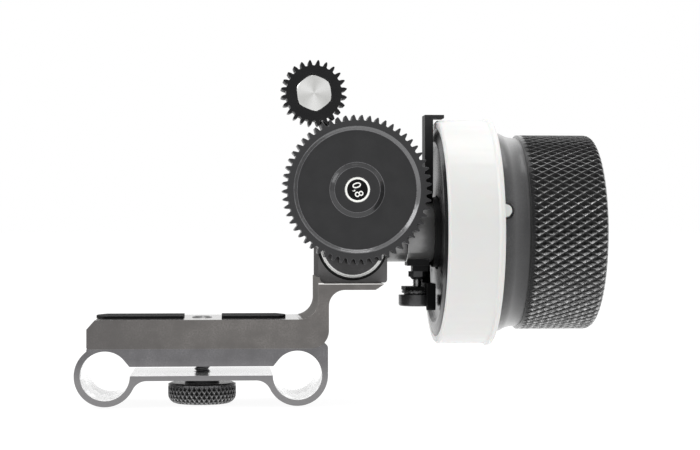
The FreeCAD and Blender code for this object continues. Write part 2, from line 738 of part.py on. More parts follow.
def front_cap():
    """Round cap let into the front of the gearbox, grooved for its white ring."""
    place = ("cap_x", "0", "cap_z")
    cap = ring("front_cap", "Y", place, "box_front - 0.6", "box_front + 1.2", "0", "cap_radius")
    groove = [("box_front - 0.6", "cap_radius - 0.9"), ("box_front - 0.6", "cap_radius - 0.4"),
              ("box_front - 0.1", "cap_radius - 0.4"), ("box_front - 0.1", "cap_radius - 0.9")]
    bore(cap, "Y", groove)
    ring("cap_ring", "Y", place, "box_front - 0.65", "box_front - 0.1", "cap_radius - 0.9",
         "cap_radius - 0.4")


def gearbox_bushes():
    cross = (CROSS_X, "0", "knob_z")
    spindle = ("gear_x", "0", "gear_z")
    cross_bore = "cross_radius + run_gap"
    spindle_bore = "spindle_radius + run_gap"
    ring("cross_bush_front", "Y", cross, "box_front + 1.3", "box_front + 5.8", cross_bore, "3.98")
    ring("cross_bush_rear", "Y", cross, "box_back", "cover_back", cross_bore, "3.98")
    ring("spindle_bush_front", "Y", spindle, "lobe_front", "lobe_front + 4", spindle_bore, "4.48")
    ring("spindle_bush_rear", "Y", spindle, "lobe_front + 6", "lobe_front + 10", spindle_bore, "4.48")


def idler_arm():
    """Link that carries the small gear: a foot round the spindle, a narrow waist and a boss."""
    body = new_body("idler_arm", "0", "lobe_front - 4.5", "0")
    foot = new_sketch(body, "XZ_Plane")
    circle(foot, "gear_x", "gear_z", "9.5")
    pad(body, foot, "4.5", True)
    web = new_sketch(body, "XZ_Plane")
    outline(web, [along_arm("4", "8"), along_arm("19", "1.5"), along_arm("mesh_distance - 4", "1.5"),
                  along_arm("mesh_distance - 4", "-1.5"), along_arm("19", "-1.5"),
                  along_arm("4", "-8")])
    pad(body, web, "4.5", True)
    boss = new_sketch(body, "XZ_Plane")
    circle(boss, *along_arm("mesh_distance", "0"), "6.5")
    pad(body, boss, "4.5", True)
    blend = math.sqrt(6.5 ** 2 - 1.5 ** 2)
    spots = []
    for side in ("1.5", "-1.5"):
        x, z = along_arm("mesh_distance - %f" % blend, side)
        spots.append((size(x), size(z)))
    finish_edges(body, "Fillet", straight_edges(body.Tip.Shape, "Y", spots), "2.5")
    flat = new_sketch(body, "XZ_Plane")
    rectangle(flat, "gear_x - 12", "gear_z - 12", "gear_x + 12", "box_step + 0.1")
    pocket(body, flat, "4.5")
    holes = new_sketch(body, "XZ_Plane")
    circle(holes, "gear_x", "gear_z", "4.4")
    circle(holes, *along_arm("mesh_distance", "0"), "4.2")
    pocket(body, holes, "4.5")
    for x, z in ARM_SCREWS:
        bore(body, "Y", [("0", "0"), ("0", "2.4"), ("1.1", "1.3"), ("4.5", "1.3"), ("4.5", "0")],
             (x, "0", z))


def along_arm(reach, side):
    """Corner in the XZ plane, a reach from the spindle towards the small gear and a step aside."""
    x = "gear_x + (%s) * cos(mesh_angle) - (%s) * sin(mesh_angle)" % (reach, side)
    z = "gear_z + (%s) * sin(mesh_angle) + (%s) * cos(mesh_angle)" % (reach, side)
    return x, z


# ---------------------------------------------------------------- handwheel bearing and index plate

WHEEL = ("0", "knob_y", "knob_z")


def bearing():
    """Flange on the gearbox, housing behind the wheel, their bushes and the end collar."""
    flange = new_body("bearing_flange", *WHEEL)
    turn(flange, "X", [("box_right - 3.2", "bush_radius"), ("box_right - 3.2", "spigot - seat_gap"),
                       ("box_right", "spigot - seat_gap"), ("box_right", "house_radius"),
                       ("flange_right", "house_radius"), ("flange_right", "spigot"),
                       ("flange_right - 2", "spigot"), ("flange_right - 2", "bush_radius")])
    housing = new_body("bearing_housing", *WHEEL)
    turn(housing, "X", [("flange_right - 2", "bush_radius"), ("flange_right - 2", "spigot - seat_gap"),
                        ("house_left", "spigot - seat_gap"), ("house_left", "house_radius"),
                        ("house_right", "house_radius"), ("house_right", "bush_radius")])
    ring("wheel_bush_left", "X", WHEEL, "box_right - 1", "box_right + 4.5", "wheel_shaft + run_gap",
         "bush_radius - seat_gap")
    ring("wheel_bush_right", "X", WHEEL, "house_right - 6", "house_right", "wheel_shaft + run_gap",
         "bush_radius - seat_gap")
    collar = ring("housing_collar", "X", WHEEL, "house_right", "collar_right", "wheel_shaft + 0.3",
                  "collar_radius")
    round_rim(collar, "X", "collar_right", "collar_radius", "0.5", "Chamfer")


def index_plate():
    """Plate that hugs the bearing housing from behind, with a witness tab and a screw foot."""
    body = new_body("index_plate", "index_left", "0", "0")
    side = new_sketch(body, "YZ_Plane")
    outline(side, [
        ("knob_y - 4", "index_top"), ("knob_y - 4", "knob_z + 13"), ("knob_y + 4", "knob_z + 7"),
        ("knob_y + 4", "knob_z - 11.7"), ("knob_y + 3.2", "foot_top + 1.2"),
        ("knob_y - 11", "foot_top + 1.2"), ("knob_y - 11", "foot_low - 6.2"),
        ("knob_y - 7", "foot_low - 6.2"), ("knob_y - 7", "foot_low"), ("knob_y + 8", "foot_low"),
        ("knob_y + 13", "knob_z - 12"), ("knob_y + 13", "knob_z + 11"), ("knob_y + 4", "knob_z + 18"),
        ("knob_y + 4", "index_top"),
    ])
    pad(body, side, "house_right - index_left")
    tab = new_sketch(body, "YZ_Plane")
    rectangle(tab, "knob_y - 4", "index_top - 1.1", "knob_y + 4", "index_top")
    pad(body, tab, "6.3")
    foot = new_sketch(body, "YZ_Plane")
    rectangle(foot, "knob_y - 7", "foot_low", "knob_y + 6", "foot_top")
    pad(body, foot, "index_left - lock_x + 4.6", True)
    past = "house_right - index_left + 1"
    bore(body, "X", [("-1", "0"), ("-1", "house_radius + seat_gap"), (past, "house_radius + seat_gap"),
                     (past, "0")], ("0", "knob_z", "-knob_y"))
    hole = new_sketch(body, "XY_Plane", ("0", "0", "foot_top + 1"))
    circle(hole, "lock_x - index_left", "knob_y", "1.6")
    pocket(body, hole, "3")
    round_corners(body, "X", [("knob_y - 11", "foot_low - 6.2"), ("knob_y - 7", "foot_low - 6.2")],
                  "1.6")


def screw_block():
    """Small block under the bearing housing that takes the thumb screw, and its nut."""
    body = new_body("screw_block", "lock_x", "knob_y", "0")
    upper = new_sketch(body, "XY_Plane", ("0", "0", "33.9"))
    rectangle(upper, "-3.7", "-4", "3.6", "3.8")
    pad(body, upper, "3")
    lower = new_sketch(body, "XY_Plane", ("0", "0", "32.1"))
    rectangle(lower, "-1.8", "-2.7", "3.4", "2.7")
    pad(body, lower, "2.5")
    bore(body, "X", [("-8", "0"), ("-8", "house_radius + seat_gap"), ("8", "house_radius + seat_gap"),
                     ("8", "0")], ("0", "knob_z", "0"))
    hole = new_sketch(body, "XY_Plane", ("0", "0", "37"))
    circle(hole, "0", "0", "1.6")
    pocket(body, hole, "6")
    nut = hexagon_bar(5, 1.8, 30.3)
    nut = nut.fuse(Part.makeCone(1.7, 2.5, 0.9, FreeCAD.Vector(0, 0, 29.4)))
    nut = nut.cut(Part.makeCylinder(1.55, 4, FreeCAD.Vector(0, 0, 29)))
    computed("lock_nut", nut, "lock_x", "knob_y", "0")


# ---------------------------------------------------------------- handwheel


def handwheel_shaft():
    body = new_body("handwheel_shaft", *WHEEL)
    left = CROSS_X + " + 2.8"
    step = CROSS_X + " + 6.5"
    turn(body, "X", [(left, "0"), (left, "cross_radius"), (step, "cross_radius"),
                     (step, "wheel_shaft"), ("113.5", "wheel_shaft"), ("113.5", "0")])


def bevel_pinion():
    """Bevel gear on the handwheel shaft, with a gap of its teeth towards the cross shaft's gear."""
    solid = bevel_solid(BEVEL_GAP)
    solid.rotate(FreeCAD.Vector(0, 0, 0), FreeCAD.Vector(0, 0, 1), -90)
    computed("bevel_pinion", solid, CROSS_X, "knob_y", "knob_z")


def backing_plate():
    body = new_body("backing_plate", *WHEEL)
    turn(body, "X", [("plate_dish", "collar_radius + 0.7"), ("plate_dish", "plate_radius - 5.5"),
                     ("plate_left", "plate_radius - 4.3"), ("plate_left", "plate_radius - 3"),
                     ("plate_left + 0.8", "plate_radius"), ("plate_right", "plate_radius"),
                     ("plate_right", "collar_radius + 0.7")])
    for y, z in PLATE_SCREWS:
        bore(body, "X", [("plate_dish", "0"), ("plate_dish", "2.1"), ("plate_right", "1.1"),
                         ("plate_right", "0")], ("0", z, "-(%s)" % y))
    screws = [("plate_dish", "knob_y + " + y, "knob_z + " + z) for y, z in PLATE_SCREWS]
    screw_set("plate_screws", flat_screw(1.0, 7, 2.0, 1.3), (1, 0, 0), screws)


PLATE_SCREWS = [("18 * cos(%d)" % angle, "18 * sin(%d)" % angle) for angle in (45, 135, 225, 315)]


def marking_disc():
    """White drum that takes the focus marks, with a lip and a locating tab."""
    body = new_body("marking_disc", *WHEEL)
    turn_body(body, FreeCAD.Vector(1, 0, 0), "tab_turn")
    inside = "core_radius + run_gap"
    turn(body, "X", [("disc_left", "plate_radius + run_gap"), ("disc_left", "disc_radius - 0.6"),
                     ("disc_left + 0.6", "disc_radius"), ("disc_right - 2", "disc_radius"),
                     ("disc_right - 1.4", "disc_radius + 0.6"), ("disc_right - 0.4", "disc_radius + 0.6"),
                     ("disc_right", "disc_radius + 0.2"), ("disc_right", inside),
                     ("plate_right", inside), ("plate_right", "plate_radius + run_gap")])
    tab = new_sketch(body, "XY_Plane", ("0", "0", "flange_radius - 2.5"))
    circle(tab, "tab_x", "0", "2")
    pad(body, tab, "2.7")


def wheel_hub():
    """Turned hub: core inside the disc, flange, neck, and the core that the grip sits on."""
    body = new_body("wheel_hub", *WHEEL)
    turn_body(body, FreeCAD.Vector(1, 0, 0), "tab_turn")
    turn(body, "X", [("plate_right", "wheel_shaft"), ("plate_right", "core_radius"),
                     ("disc_right", "core_radius"), ("disc_right", "flange_radius"),
                     ("disc_right + 2.9", "flange_radius"), ("grip_left - 3", "neck_radius"),
                     ("grip_left", "neck_radius"), ("grip_left", "core_radius"),
                     ("hub_right", "core_radius"), ("hub_right", "spigot"),
                     ("hub_right - 11", "spigot"), ("hub_right - 11", "wheel_shaft")])
    round_rim(body, "X", "grip_left - 3", "neck_radius", "8")
    notch = new_sketch(body, "XY_Plane", ("0", "0", "flange_radius + 1"))
    circle(notch, "tab_x", "0", "2.9")
    pocket(body, notch, "4.5")
    radial = new_sketch(body, "XY_Plane")
    circle(radial, "grip_left - 5.5", "0", "2 + seat_gap")
    pocket(body, radial, "flange_radius + 1")
    for y, z in PLATE_SCREWS:
        bore(body, "X", [("plate_right", "0"), ("plate_right", "1 + seat_gap"),
                         ("plate_right + 6.2", "1 + seat_gap"), ("plate_right + 6.2", "0")],
             turned_back(y, z))
    for y, z in CAP_SCREWS:
        bore(body, "X", [("hub_right - 6", "0"), ("hub_right - 6", "1.25 + seat_gap"),
                         ("hub_right", "1.25 + seat_gap"), ("hub_right", "0")], turned_back(y, z))


def turned_back(y, z):
    """Sketch shift of a hole at y, z from the axis, in a body that is turned by tab_turn."""
    across = "(%s) * cos(tab_turn) + (%s) * sin(tab_turn)" % (y, z)
    up = "(%s) * cos(tab_turn) - (%s) * sin(tab_turn)" % (z, y)
    return ("0", up, "-(%s)" % across)


CAP_SCREWS = [("16 * cos(%d)" % angle, "16 * sin(%d)" % angle) for angle in (90, 210, 330)]


def grip_and_cap():
    below = FreeCAD.Vector(0, 0, size("-2 * grip_lead"))
    core = Part.makeCylinder(size("core_radius + seat_gap"), size("grip_radius"), below)
    grip = knurled_blank("grip").cut(core)
    grip.rotate(FreeCAD.Vector(0, 0, 0), FreeCAD.Vector(0, 1, 0), 90)
    computed("knurled_grip", grip, "grip_left + grip_lead", "knob_y", "knob_z")
    cap = new_body("end_cap", *WHEEL)
    turn(cap, "X", [("hub_right", "spigot"), ("hub_right", "core_radius - run_gap"),
                    ("hub_right + 1.6", "core_radius - run_gap"), ("hub_right + 1.6", "spigot")])
    for y, z in CAP_SCREWS:
        bore(cap, "X", [("hub_right", "0"), ("hub_right", "1.3"), ("hub_right + 0.5", "1.3"),
                        ("hub_right + 1.6", "2.4"), ("hub_right + 1.6", "0")], ("0", z, "-(%s)" % y))
    screws = [("hub_right + 1.6", "knob_y + " + y, "knob_z + " + z) for y, z in CAP_SCREWS]
    screw_set("end_cap_screws", flat_screw(1.25, 7, 2.35, 1.5), (-1, 0, 0), screws)


def crank_socket():
    """Insert in the end of the hub with a square hole for a speed crank or a whip."""
    body = ring("crank_socket", "X", WHEEL, "hub_right - 11", "hub_right + 1.9", "0", "spigot - seat_gap")
    square = new_sketch(body, "YZ_Plane", ("0", "0", "hub_right + 1.9"))
    rectangle(square, "-3.2", "-3.2", "3.2", "3.2")
    pocket(body, square, "11.5")
    grub = Part.makeCylinder(2, 6).cut(hexagon_bar(2, 2.5, 3.5))
    tilt = FreeCAD.Rotation(FreeCAD.Vector(1, 0, 0), size("tab_turn + 180"))
    shift = tilt.multVec(FreeCAD.Vector(0, 0, size("wheel_shaft")))
    grub.Placement = FreeCAD.Placement(shift, tilt)
    computed("hub_setscrew", Part.makeCompound([grub]), "grip_left - 5.5", "knob_y", "knob_z")


# ---------------------------------------------------------------- gear train

BEVEL_GAP = 10
DRIVE_TOOTH = 4.4
SPINDLE = ("gear_x", "0", "gear_z")


def cross_shaft():
    """Shaft across the gearbox with its bevel gear and the first spur gear."""
    ring("cross_shaft", "Y", (CROSS_X, "0", "knob_z"), "box_front + 1.5", "cover_back - 0.4", "0",
         "cross_radius")
    computed("bevel_gear", bevel_solid(0), CROSS_X, "knob_y", "knob_z")
    computed("transfer_gear", train_gear(line_angle(), "cross_radius"), CROSS_X, "lobe_front + 10.6",
             "knob_z")


def line_angle():
    """Direction from the cross shaft to the spindle, in degrees from +X."""
    return math.degrees(math.asin(size("(gear_z - knob_z) / train_distance")))


def train_gear(first_tooth, shaft):
    """Spur gear of the pair inside the gearbox."""
    module = size("train_module")
    teeth = int(size("train_teeth"))
    pitch_radius = module * teeth / 2
    wire = spur_wire(module, teeth, pitch_radius + 0.95 * module, pitch_radius - 1.25 * module,
                     0.12, first_tooth)
    disc = Part.Face(wire).extrude(FreeCAD.Vector(0, 3, 0))
    return disc.cut(Part.makeCylinder(size(shaft), 9, FreeCAD.Vector(0, -3, 0), FreeCAD.Vector(0, 1, 0)))


def gear_spindle():
    """Spindle through the lobe, its inner gear, and the spacer behind the drive gear."""
    ring("gear_spindle", "Y", SPINDLE, "0.9", "box_back - 0.2", "0", "spindle_radius")
    half_pitch = 180 / size("train_teeth")
    computed("spindle_gear", train_gear(line_angle() + 180 + half_pitch, "spindle_radius"), "gear_x",
             "lobe_front + 10.6", "gear_z")
    ring("spindle_spacer", "Y", SPINDLE, "gear_width", "lobe_front - 0.1", "spindle_radius", "4")


def spur_blank(teeth, first_tooth):
    """Toothed disc of the outside pair, front face on y = 0."""
    module = size("drive_module")
    pitch_radius = module * teeth / 2
    wire = spur_wire(module, teeth, pitch_radius + module, pitch_radius - 1.15 * module, 0.2,
                     first_tooth)
    return Part.Face(wire).extrude(FreeCAD.Vector(0, size("gear_width"), 0))


def drive_gear():
    """Large spur gear: dished on both sides, raised hub, shallow seat for the badge."""
    width = size("gear_width")
    solid = spur_blank(int(size("drive_teeth")), DRIVE_TOOTH)
    front = turned_shape([(-1, 20), (0, 20), (1.1, 18.9), (1.1, 8.7), (0, 7.2), (-1, 7.2)])
    back = turned_shape([(width + 1, 20), (width, 20), (width - 1.1, 18.9), (width - 1.1, 8.7),
                         (width, 7.2), (width + 1, 7.2)])
    seat = turned_shape([(-1, 0), (-1, 4.05), (0.9, 4.05), (0.9, 0)])
    hole = turned_shape([(-1, 0), (-1, size("spindle_radius")), (width + 1, size("spindle_radius")),
                         (width + 1, 0)])
    for cutter in (front, back, seat, hole):
        solid = solid.cut(cutter)
    computed("drive_gear", solid, *SPINDLE)
    ring("gear_badge", "Y", SPINDLE, "0.2", "0.9", "0", "4")


def small_gear():
    """Gear that drives the lens: slides on its hexagon axle, in mesh with the drive gear."""
    x, z = along_arm("mesh_distance", "0")
    solid = spur_blank(int(size("small_teeth")), small_tooth())
    flats = size("hexagon + 2 * run_gap + 0.1")
    hexagon = hexagon_bar(flats, 12, -2, HEXAGON_TURN)
    hexagon.rotate(FreeCAD.Vector(0, 0, 0), FreeCAD.Vector(1, 0, 0), 90)
    hexagon.translate(FreeCAD.Vector(0, size("gear_width"), 0))
    computed("small_gear", solid.cut(hexagon), x, "0", z)


HEXAGON_TURN = 37.5


def small_tooth():
    """Angle of a tooth of the small gear that meets a gap of the drive gear."""
    pitch = 360 / size("drive_teeth")
    toward = size("mesh_angle")
    past_gap = (toward - DRIVE_TOOTH - pitch / 2) % pitch
    return toward + 180 + past_gap * size("drive_teeth / small_teeth")


def hex_axle():
    """Hexagon bar with a round journal that turns in the arm, held by a clip behind it."""
    x, z = along_arm("mesh_distance", "0")
    width = size("lobe_front") - 4.8
    bar = hexagon_bar(size("hexagon"), width, 0, HEXAGON_TURN)
    bar.rotate(FreeCAD.Vector(0, 0, 0), FreeCAD.Vector(1, 0, 0), 90)
    bar.translate(FreeCAD.Vector(0, width, 0))
    corner = size("hexagon") / math.sqrt(3)
    rounding = turned_shape([(0, 0), (0, corner - 0.75), (0.5, corner - 0.1), (width, corner - 0.1),
                             (width, 0)])
    journal = size("axle_radius")
    tail = turned_shape([(width - 1, 0), (width - 1, journal), (width + 5.1, journal),
                         (width + 5.1, journal - 0.5), (width + 5.9, journal - 0.5),
                         (width + 5.9, journal), (width + 6.8, journal), (width + 6.8, 0)])
    computed("hex_axle", bar.common(rounding).fuse(tail), x, "0", z)
    ring("axle_clip", "Y", (x, "0", z), "lobe_front + 0.3", "lobe_front + 1.1", "axle_radius - 0.5",
         "5")
    ring("idler_bush", "Y", (x, "0", z), "lobe_front - 4.5", "lobe_front", "axle_radius + run_gap",
         "4.2 - seat_gap")


# ---------------------------------------------------------------- screws turned by hand


def clamp_screw():
    place = ("0", "screw_y", "0")
    ring("clamp_washer", "Z", place, "knob_top", "-flex_bar - run_gap", "2.6", "5.5")
    screw = ring("clamp_screw", "Z", place, "knob_top - clamp_sunk", "14", "0", "clamp_shank")
    round_rim(screw, "Z", "14", "clamp_shank", "0.5", "Chamfer")
    above = FreeCAD.Vector(0, 0, size("-clamp_knob_lead - clamp_sunk"))
    shank = Part.makeCylinder(size("clamp_shank"), size("2 * clamp_sunk"), above)
    knob = knurled_blank("clamp_knob").cut(shank)
    knob.rotate(FreeCAD.Vector(0, 0, 0), FreeCAD.Vector(1, 0, 0), 180)
    computed("clamp_knob", knob, "0", "screw_y", "knob_top - clamp_knob_lead")


def lock_screw():
    place = ("lock_x", "knob_y", "0")
    washers = new_body("lock_washers", *place)
    turn(washers, "Z", [("thumb_top", "1.6"), ("thumb_top", "4.4"), ("thumb_top + 0.6", "4.4"),
                        ("thumb_top + 0.6", "5.1"), ("foot_low - run_gap", "5.1"),
                        ("foot_low - run_gap", "1.6")])
    ring("lock_screw", "Z", place, "thumb_top - 2.5", "34.6", "0", "1.5")
    wheel = new_body("thumb_wheel", *place)
    turn(wheel, "Z", [("thumb_low", "0"), ("thumb_low", "thumb_radius"), ("thumb_top", "thumb_radius"),
                      ("thumb_top", "1.5"), ("thumb_top - 2.5", "1.5"), ("thumb_top - 2.5", "0")])
    round_rim(wheel, "Z", "thumb_low", "thumb_radius", "0.8")


# ---------------------------------------------------------------- whole unit


def build():
    fill_sheet()
    rod_clamp()
    bridge_bracket()
    clamp_fasteners()
    grip_strip("grip_strip_left", "-5.8", "-33.6", "+2.7")
    grip_strip("grip_strip_right", "6.3", "26.8", "-2.7")
    gearbox_housing()
    rear_cover()
    box_fasteners()
    front_cap()
    gearbox_bushes()
    idler_arm()
    bearing()
    index_plate()
    screw_block()
    handwheel_shaft()
    bevel_pinion()
    backing_plate()
    marking_disc()
    wheel_hub()
    grip_and_cap()
    crank_socket()
    cross_shaft()
    gear_spindle()
    drive_gear()
    small_gear()
    hex_axle()
    clamp_screw()
    lock_screw()
    DOC.recompute()


def check():
    """Stop on any failed object or broken shape before a file is written."""
    for item in DOC.Objects:
        if "Invalid" in item.State or "Error" in item.State:
            raise RuntimeError("%s: %s" % (item.Name, item.State))
    for part in PARTS:
        if part.Shape.isNull() or not part.Shape.isValid():
            raise RuntimeError("%s: broken shape" % part.Label)


def export():
    os.makedirs("parts", exist_ok=True)
    for part in PARTS:
        part.Shape.exportStep("parts/%s.step" % part.Label)
        box = part.Shape.BoundBox
        print("%-20s %2d solid(s) %9.1f mm3  x %.1f..%.1f  y %.1f..%.1f  z %.1f..%.1f" % (
            part.Label, len(part.Shape.Solids), part.Shape.Volume,
            box.XMin, box.XMax, box.YMin, box.YMax, box.ZMin, box.ZMax))
    print("nodes:", len(PARTS))


build()
check()
export()
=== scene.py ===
import math

import bmesh
import bpy
from mathutils import Matrix, Vector


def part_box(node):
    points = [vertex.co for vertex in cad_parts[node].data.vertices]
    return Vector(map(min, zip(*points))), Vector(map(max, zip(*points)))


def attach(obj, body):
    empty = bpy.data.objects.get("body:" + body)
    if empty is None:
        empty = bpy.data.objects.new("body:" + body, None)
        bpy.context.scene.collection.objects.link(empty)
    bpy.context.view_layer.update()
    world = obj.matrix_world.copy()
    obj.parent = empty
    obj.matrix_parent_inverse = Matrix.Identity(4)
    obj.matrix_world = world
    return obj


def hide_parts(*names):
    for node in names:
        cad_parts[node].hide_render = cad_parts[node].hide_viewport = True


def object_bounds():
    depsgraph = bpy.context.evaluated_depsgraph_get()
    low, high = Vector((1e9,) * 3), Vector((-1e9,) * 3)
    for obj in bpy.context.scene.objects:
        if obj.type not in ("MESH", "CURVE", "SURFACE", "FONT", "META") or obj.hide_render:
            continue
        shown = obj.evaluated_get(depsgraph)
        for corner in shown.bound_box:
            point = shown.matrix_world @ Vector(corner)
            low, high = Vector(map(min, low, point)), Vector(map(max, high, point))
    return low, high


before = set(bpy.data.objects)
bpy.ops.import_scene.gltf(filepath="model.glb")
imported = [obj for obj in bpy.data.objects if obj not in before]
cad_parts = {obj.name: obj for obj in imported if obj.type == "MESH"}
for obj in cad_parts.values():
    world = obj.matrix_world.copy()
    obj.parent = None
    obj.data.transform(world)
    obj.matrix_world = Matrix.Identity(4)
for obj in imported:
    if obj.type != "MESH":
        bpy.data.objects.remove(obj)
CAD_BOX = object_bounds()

# A follow focus unit: a geared handwheel that turns a lens ring from a pair of 15 mm rods.
# Metres throughout, in the frame of the CAD model: X to the handwheel, Y away, Z up.
MM = 0.001

# ---------------------------------------------------------------- studio
# White table and white surround, as in a product studio: large soft lamps, no hard shadow.
# The camera stands level with the handwheel's axis and looks a few degrees to the right.

scene = bpy.context.scene
scene.view_settings.view_transform = "Standard"


def node_tree(owner):
    """Empty node tree of a material or a world."""
    owner.use_nodes = True
    owner.node_tree.nodes.clear()
    return owner.node_tree


def add_node(tree, kind, **values):
    """Node with its input sockets set by name; underscores stand for spaces."""
    node = tree.nodes.new(kind)
    for name, value in values.items():
        node.inputs[name.replace("_", " ")].default_value = value
    return node


def calculate(tree, operation, first, second):
    """Result of one sum on two sockets or numbers."""
    node = tree.nodes.new("ShaderNodeMath")
    node.operation = operation
    for socket, value in ((node.inputs[0], first), (node.inputs[1], second)):
        if isinstance(value, (int, float)):
            socket.default_value = value
        else:
            tree.links.new(value, socket)
    return node.outputs[0]


def remap(tree, value, low, high, to_low, to_high):
    """Value stretched from one range to another and clamped."""
    node = tree.nodes.new("ShaderNodeMapRange")
    for number, limit in enumerate((low, high, to_low, to_high), start=1):
        node.inputs[number].default_value = limit
    tree.links.new(value, node.inputs[0])
    return node.outputs[0]


def seen_directly(tree):
    """1 for the rays that see the surround itself: camera, mirror and glass rays."""
    path = tree.nodes.new("ShaderNodeLightPath")
    total = path.outputs["Is Camera Ray"]
    for name in ("Is Glossy Ray", "Is Transmission Ray"):
        total = calculate(tree, "MAXIMUM", total, path.outputs[name])
    return total


def give_surface(tree, output, factor, first, second):
    """Surface of a material or world that goes from one shader to another with the factor."""
    mix = tree.nodes.new("ShaderNodeMixShader")
    for socket, source in zip(mix.inputs, (factor, first.outputs[0], second.outputs[0])):
        tree.links.new(source, socket)
    tree.links.new(mix.outputs[0], tree.nodes.new(output).inputs["Surface"])


def white_surround():
    """Light tent: it glows all round, most overhead and least where the camera looks in."""
    world = bpy.data.worlds.new("studio")
    tree = node_tree(world)
    way = tree.nodes.new("ShaderNodeTexCoord")
    parts = tree.nodes.new("ShaderNodeSeparateXYZ")
    tree.links.new(way.outputs["Generated"], parts.inputs[0])
    overhead = remap(tree, parts.outputs["Z"], 0.3, 1.0, 0.0, 0.8)
    around = remap(tree, parts.outputs["Y"], -1.0, 0.6, 0.25, 0.7)
    lit = add_node(tree, "ShaderNodeBackground", Color=(1, 1, 1, 1))
    tree.links.new(calculate(tree, "ADD", overhead, around), lit.inputs["Strength"])
    seen = add_node(tree, "ShaderNodeBackground", Color=(1, 1, 1, 1), Strength=1.0)
    give_surface(tree, "ShaderNodeOutputWorld", seen_directly(tree), lit, seen)
    scene.world = world


TABLE_SIZE = 40
TABLE_DROP = 0.05 * MM
TABLE_GLOW, TABLE_GLOW_SEEN = 0.5, 0.85
GLOW_LIT, GLOW_SEEN = 1.4, 1.1


def white_table(level):
    """Light table: it glows from below, looks white, and takes a light shadow."""
    mesh = bpy.data.meshes.new("table_top")
    plane = bmesh.new()
    bmesh.ops.create_grid(plane, x_segments=1, y_segments=1, size=TABLE_SIZE)
    bmesh.ops.translate(plane, vec=(0, 0, level), verts=plane.verts)
    plane.to_mesh(mesh)
    plane.free()
    table = bpy.data.objects.new("table_top", mesh)
    scene.collection.objects.link(table)
    material = bpy.data.materials.new("table_white")
    tree = node_tree(material)
    paint = add_node(tree, "ShaderNodeBsdfDiffuse", Color=(0.9, 0.9, 0.9, 1))
    glow = add_node(tree, "ShaderNodeEmission", Color=(1, 1, 1, 1))
    path = tree.nodes.new("ShaderNodeLightPath")
    strength = remap(tree, path.outputs["Is Camera Ray"], 0, 1, GLOW_LIT, GLOW_SEEN)
    tree.links.new(strength, glow.inputs["Strength"])
    share = remap(tree, seen_directly(tree), 0, 1, TABLE_GLOW, TABLE_GLOW_SEEN)
    give_surface(tree, "ShaderNodeOutputMaterial", share, paint, glow)
    mesh.materials.append(material)


def soft_lamp(name, place, width, power):
    """Square area lamp aimed at the middle of the unit; a small one makes the gleams."""
    light = bpy.data.lights.new(name, "AREA")
    light.size = width
    light.energy = power
    lamp = bpy.data.objects.new(name, light)
    lamp.location = place
    target = (CAD_BOX[0] + CAD_BOX[1]) / 2
    lamp.rotation_euler = (target - Vector(place)).to_track_quat("-Z", "Y").to_euler()
    scene.collection.objects.link(lamp)


FOCAL_LENGTH = 89.43
SENSOR = 36.0
HORIZON_DROP = 6 / 700
CAMERA_PLACE = (6 * MM, -545 * MM, 45.25 * MM)
CAMERA_TURN = math.radians(4.25)

camera = bpy.data.objects.new("camera", bpy.data.cameras.new("camera"))
camera.data.lens = FOCAL_LENGTH
camera.data.sensor_width = SENSOR
camera.data.shift_y = HORIZON_DROP
camera.location = CAMERA_PLACE
camera.rotation_euler = (math.pi / 2, 0, -CAMERA_TURN)
scene.collection.objects.link(camera)
scene.camera = camera

white_surround()
white_table(CAD_BOX[0].z - TABLE_DROP)
soft_lamp("key_lamp", (-0.7, -0.8, 0.9), 0.9, 1.3)
soft_lamp("fill_lamp", (0.9, -0.7, 0.5), 0.9, 1.1)
soft_lamp("gleam_lamp", (-0.88, -0.24, 0.62), 0.45, 2.8)
soft_lamp("rim_lamp", (0.5, 0.9, 0.7), 0.8, 1.2)
soft_lamp("top_lamp", (0.15, 0.05, 1.2), 0.6, 3.5)

# ---------------------------------------------------------------- rod clamp
# Two split rings and the plate between them, cut from one block of aluminium: blasted with
# fine beads, then anodised light grey. The edges are broken by a fraction of a millimetre.


def srgb(red, green, blue):
    """Linear colour of an 8-bit screen colour."""
    return tuple(((c / 255 + 0.055) / 1.055) ** 2.4 if c > 10 else c / 255 / 12.92
                 for c in (red, green, blue)) + (1.0,)


def toned(colour, share):
    """Colour made darker by a share below 1, or lighter by one above it."""
    return tuple(c * share for c in colour[:3]) + (1.0,)


def blend_colours(tree, factor, first, second):
    """Colour socket that goes from first to second with the factor."""
    mix = tree.nodes.new("ShaderNodeMix")
    mix.data_type = "RGBA"
    tree.links.new(factor, mix.inputs[0])
    for socket, colour in ((mix.inputs[6], first), (mix.inputs[7], second)):
        if isinstance(colour, tuple):
            socket.default_value = colour
        else:
            tree.links.new(colour, socket)
    return mix.outputs[2]


def object_noise(tree, grain, detail=2.0):
    """Noise with grains of a given size in metres, fixed to the piece."""
    place = tree.nodes.new("ShaderNodeTexCoord")
    noise = add_node(tree, "ShaderNodeTexNoise", Scale=1 / grain, Detail=detail)
    tree.links.new(place.outputs["Object"], noise.inputs["Vector"])
    return noise.outputs[0]


def the_node(tree, kind):
    """The first node of a kind."""
    return next(node for node in tree.nodes if node.type == kind)


def give_skin(tree, shader, grains, strength, depth):
    """Relief of the grains in the bump, and the shader as the surface of the piece."""
    bump = add_node(tree, "ShaderNodeBump", Strength=strength, Distance=depth)
    tree.links.new(grains, bump.inputs["Height"])
    tree.links.new(bump.outputs[0], shader.inputs["Normal"])
    out = tree.nodes.new("ShaderNodeOutputMaterial")
    tree.links.new(shader.outputs[0], out.inputs["Surface"])


BLAST_BUMP = 0.5


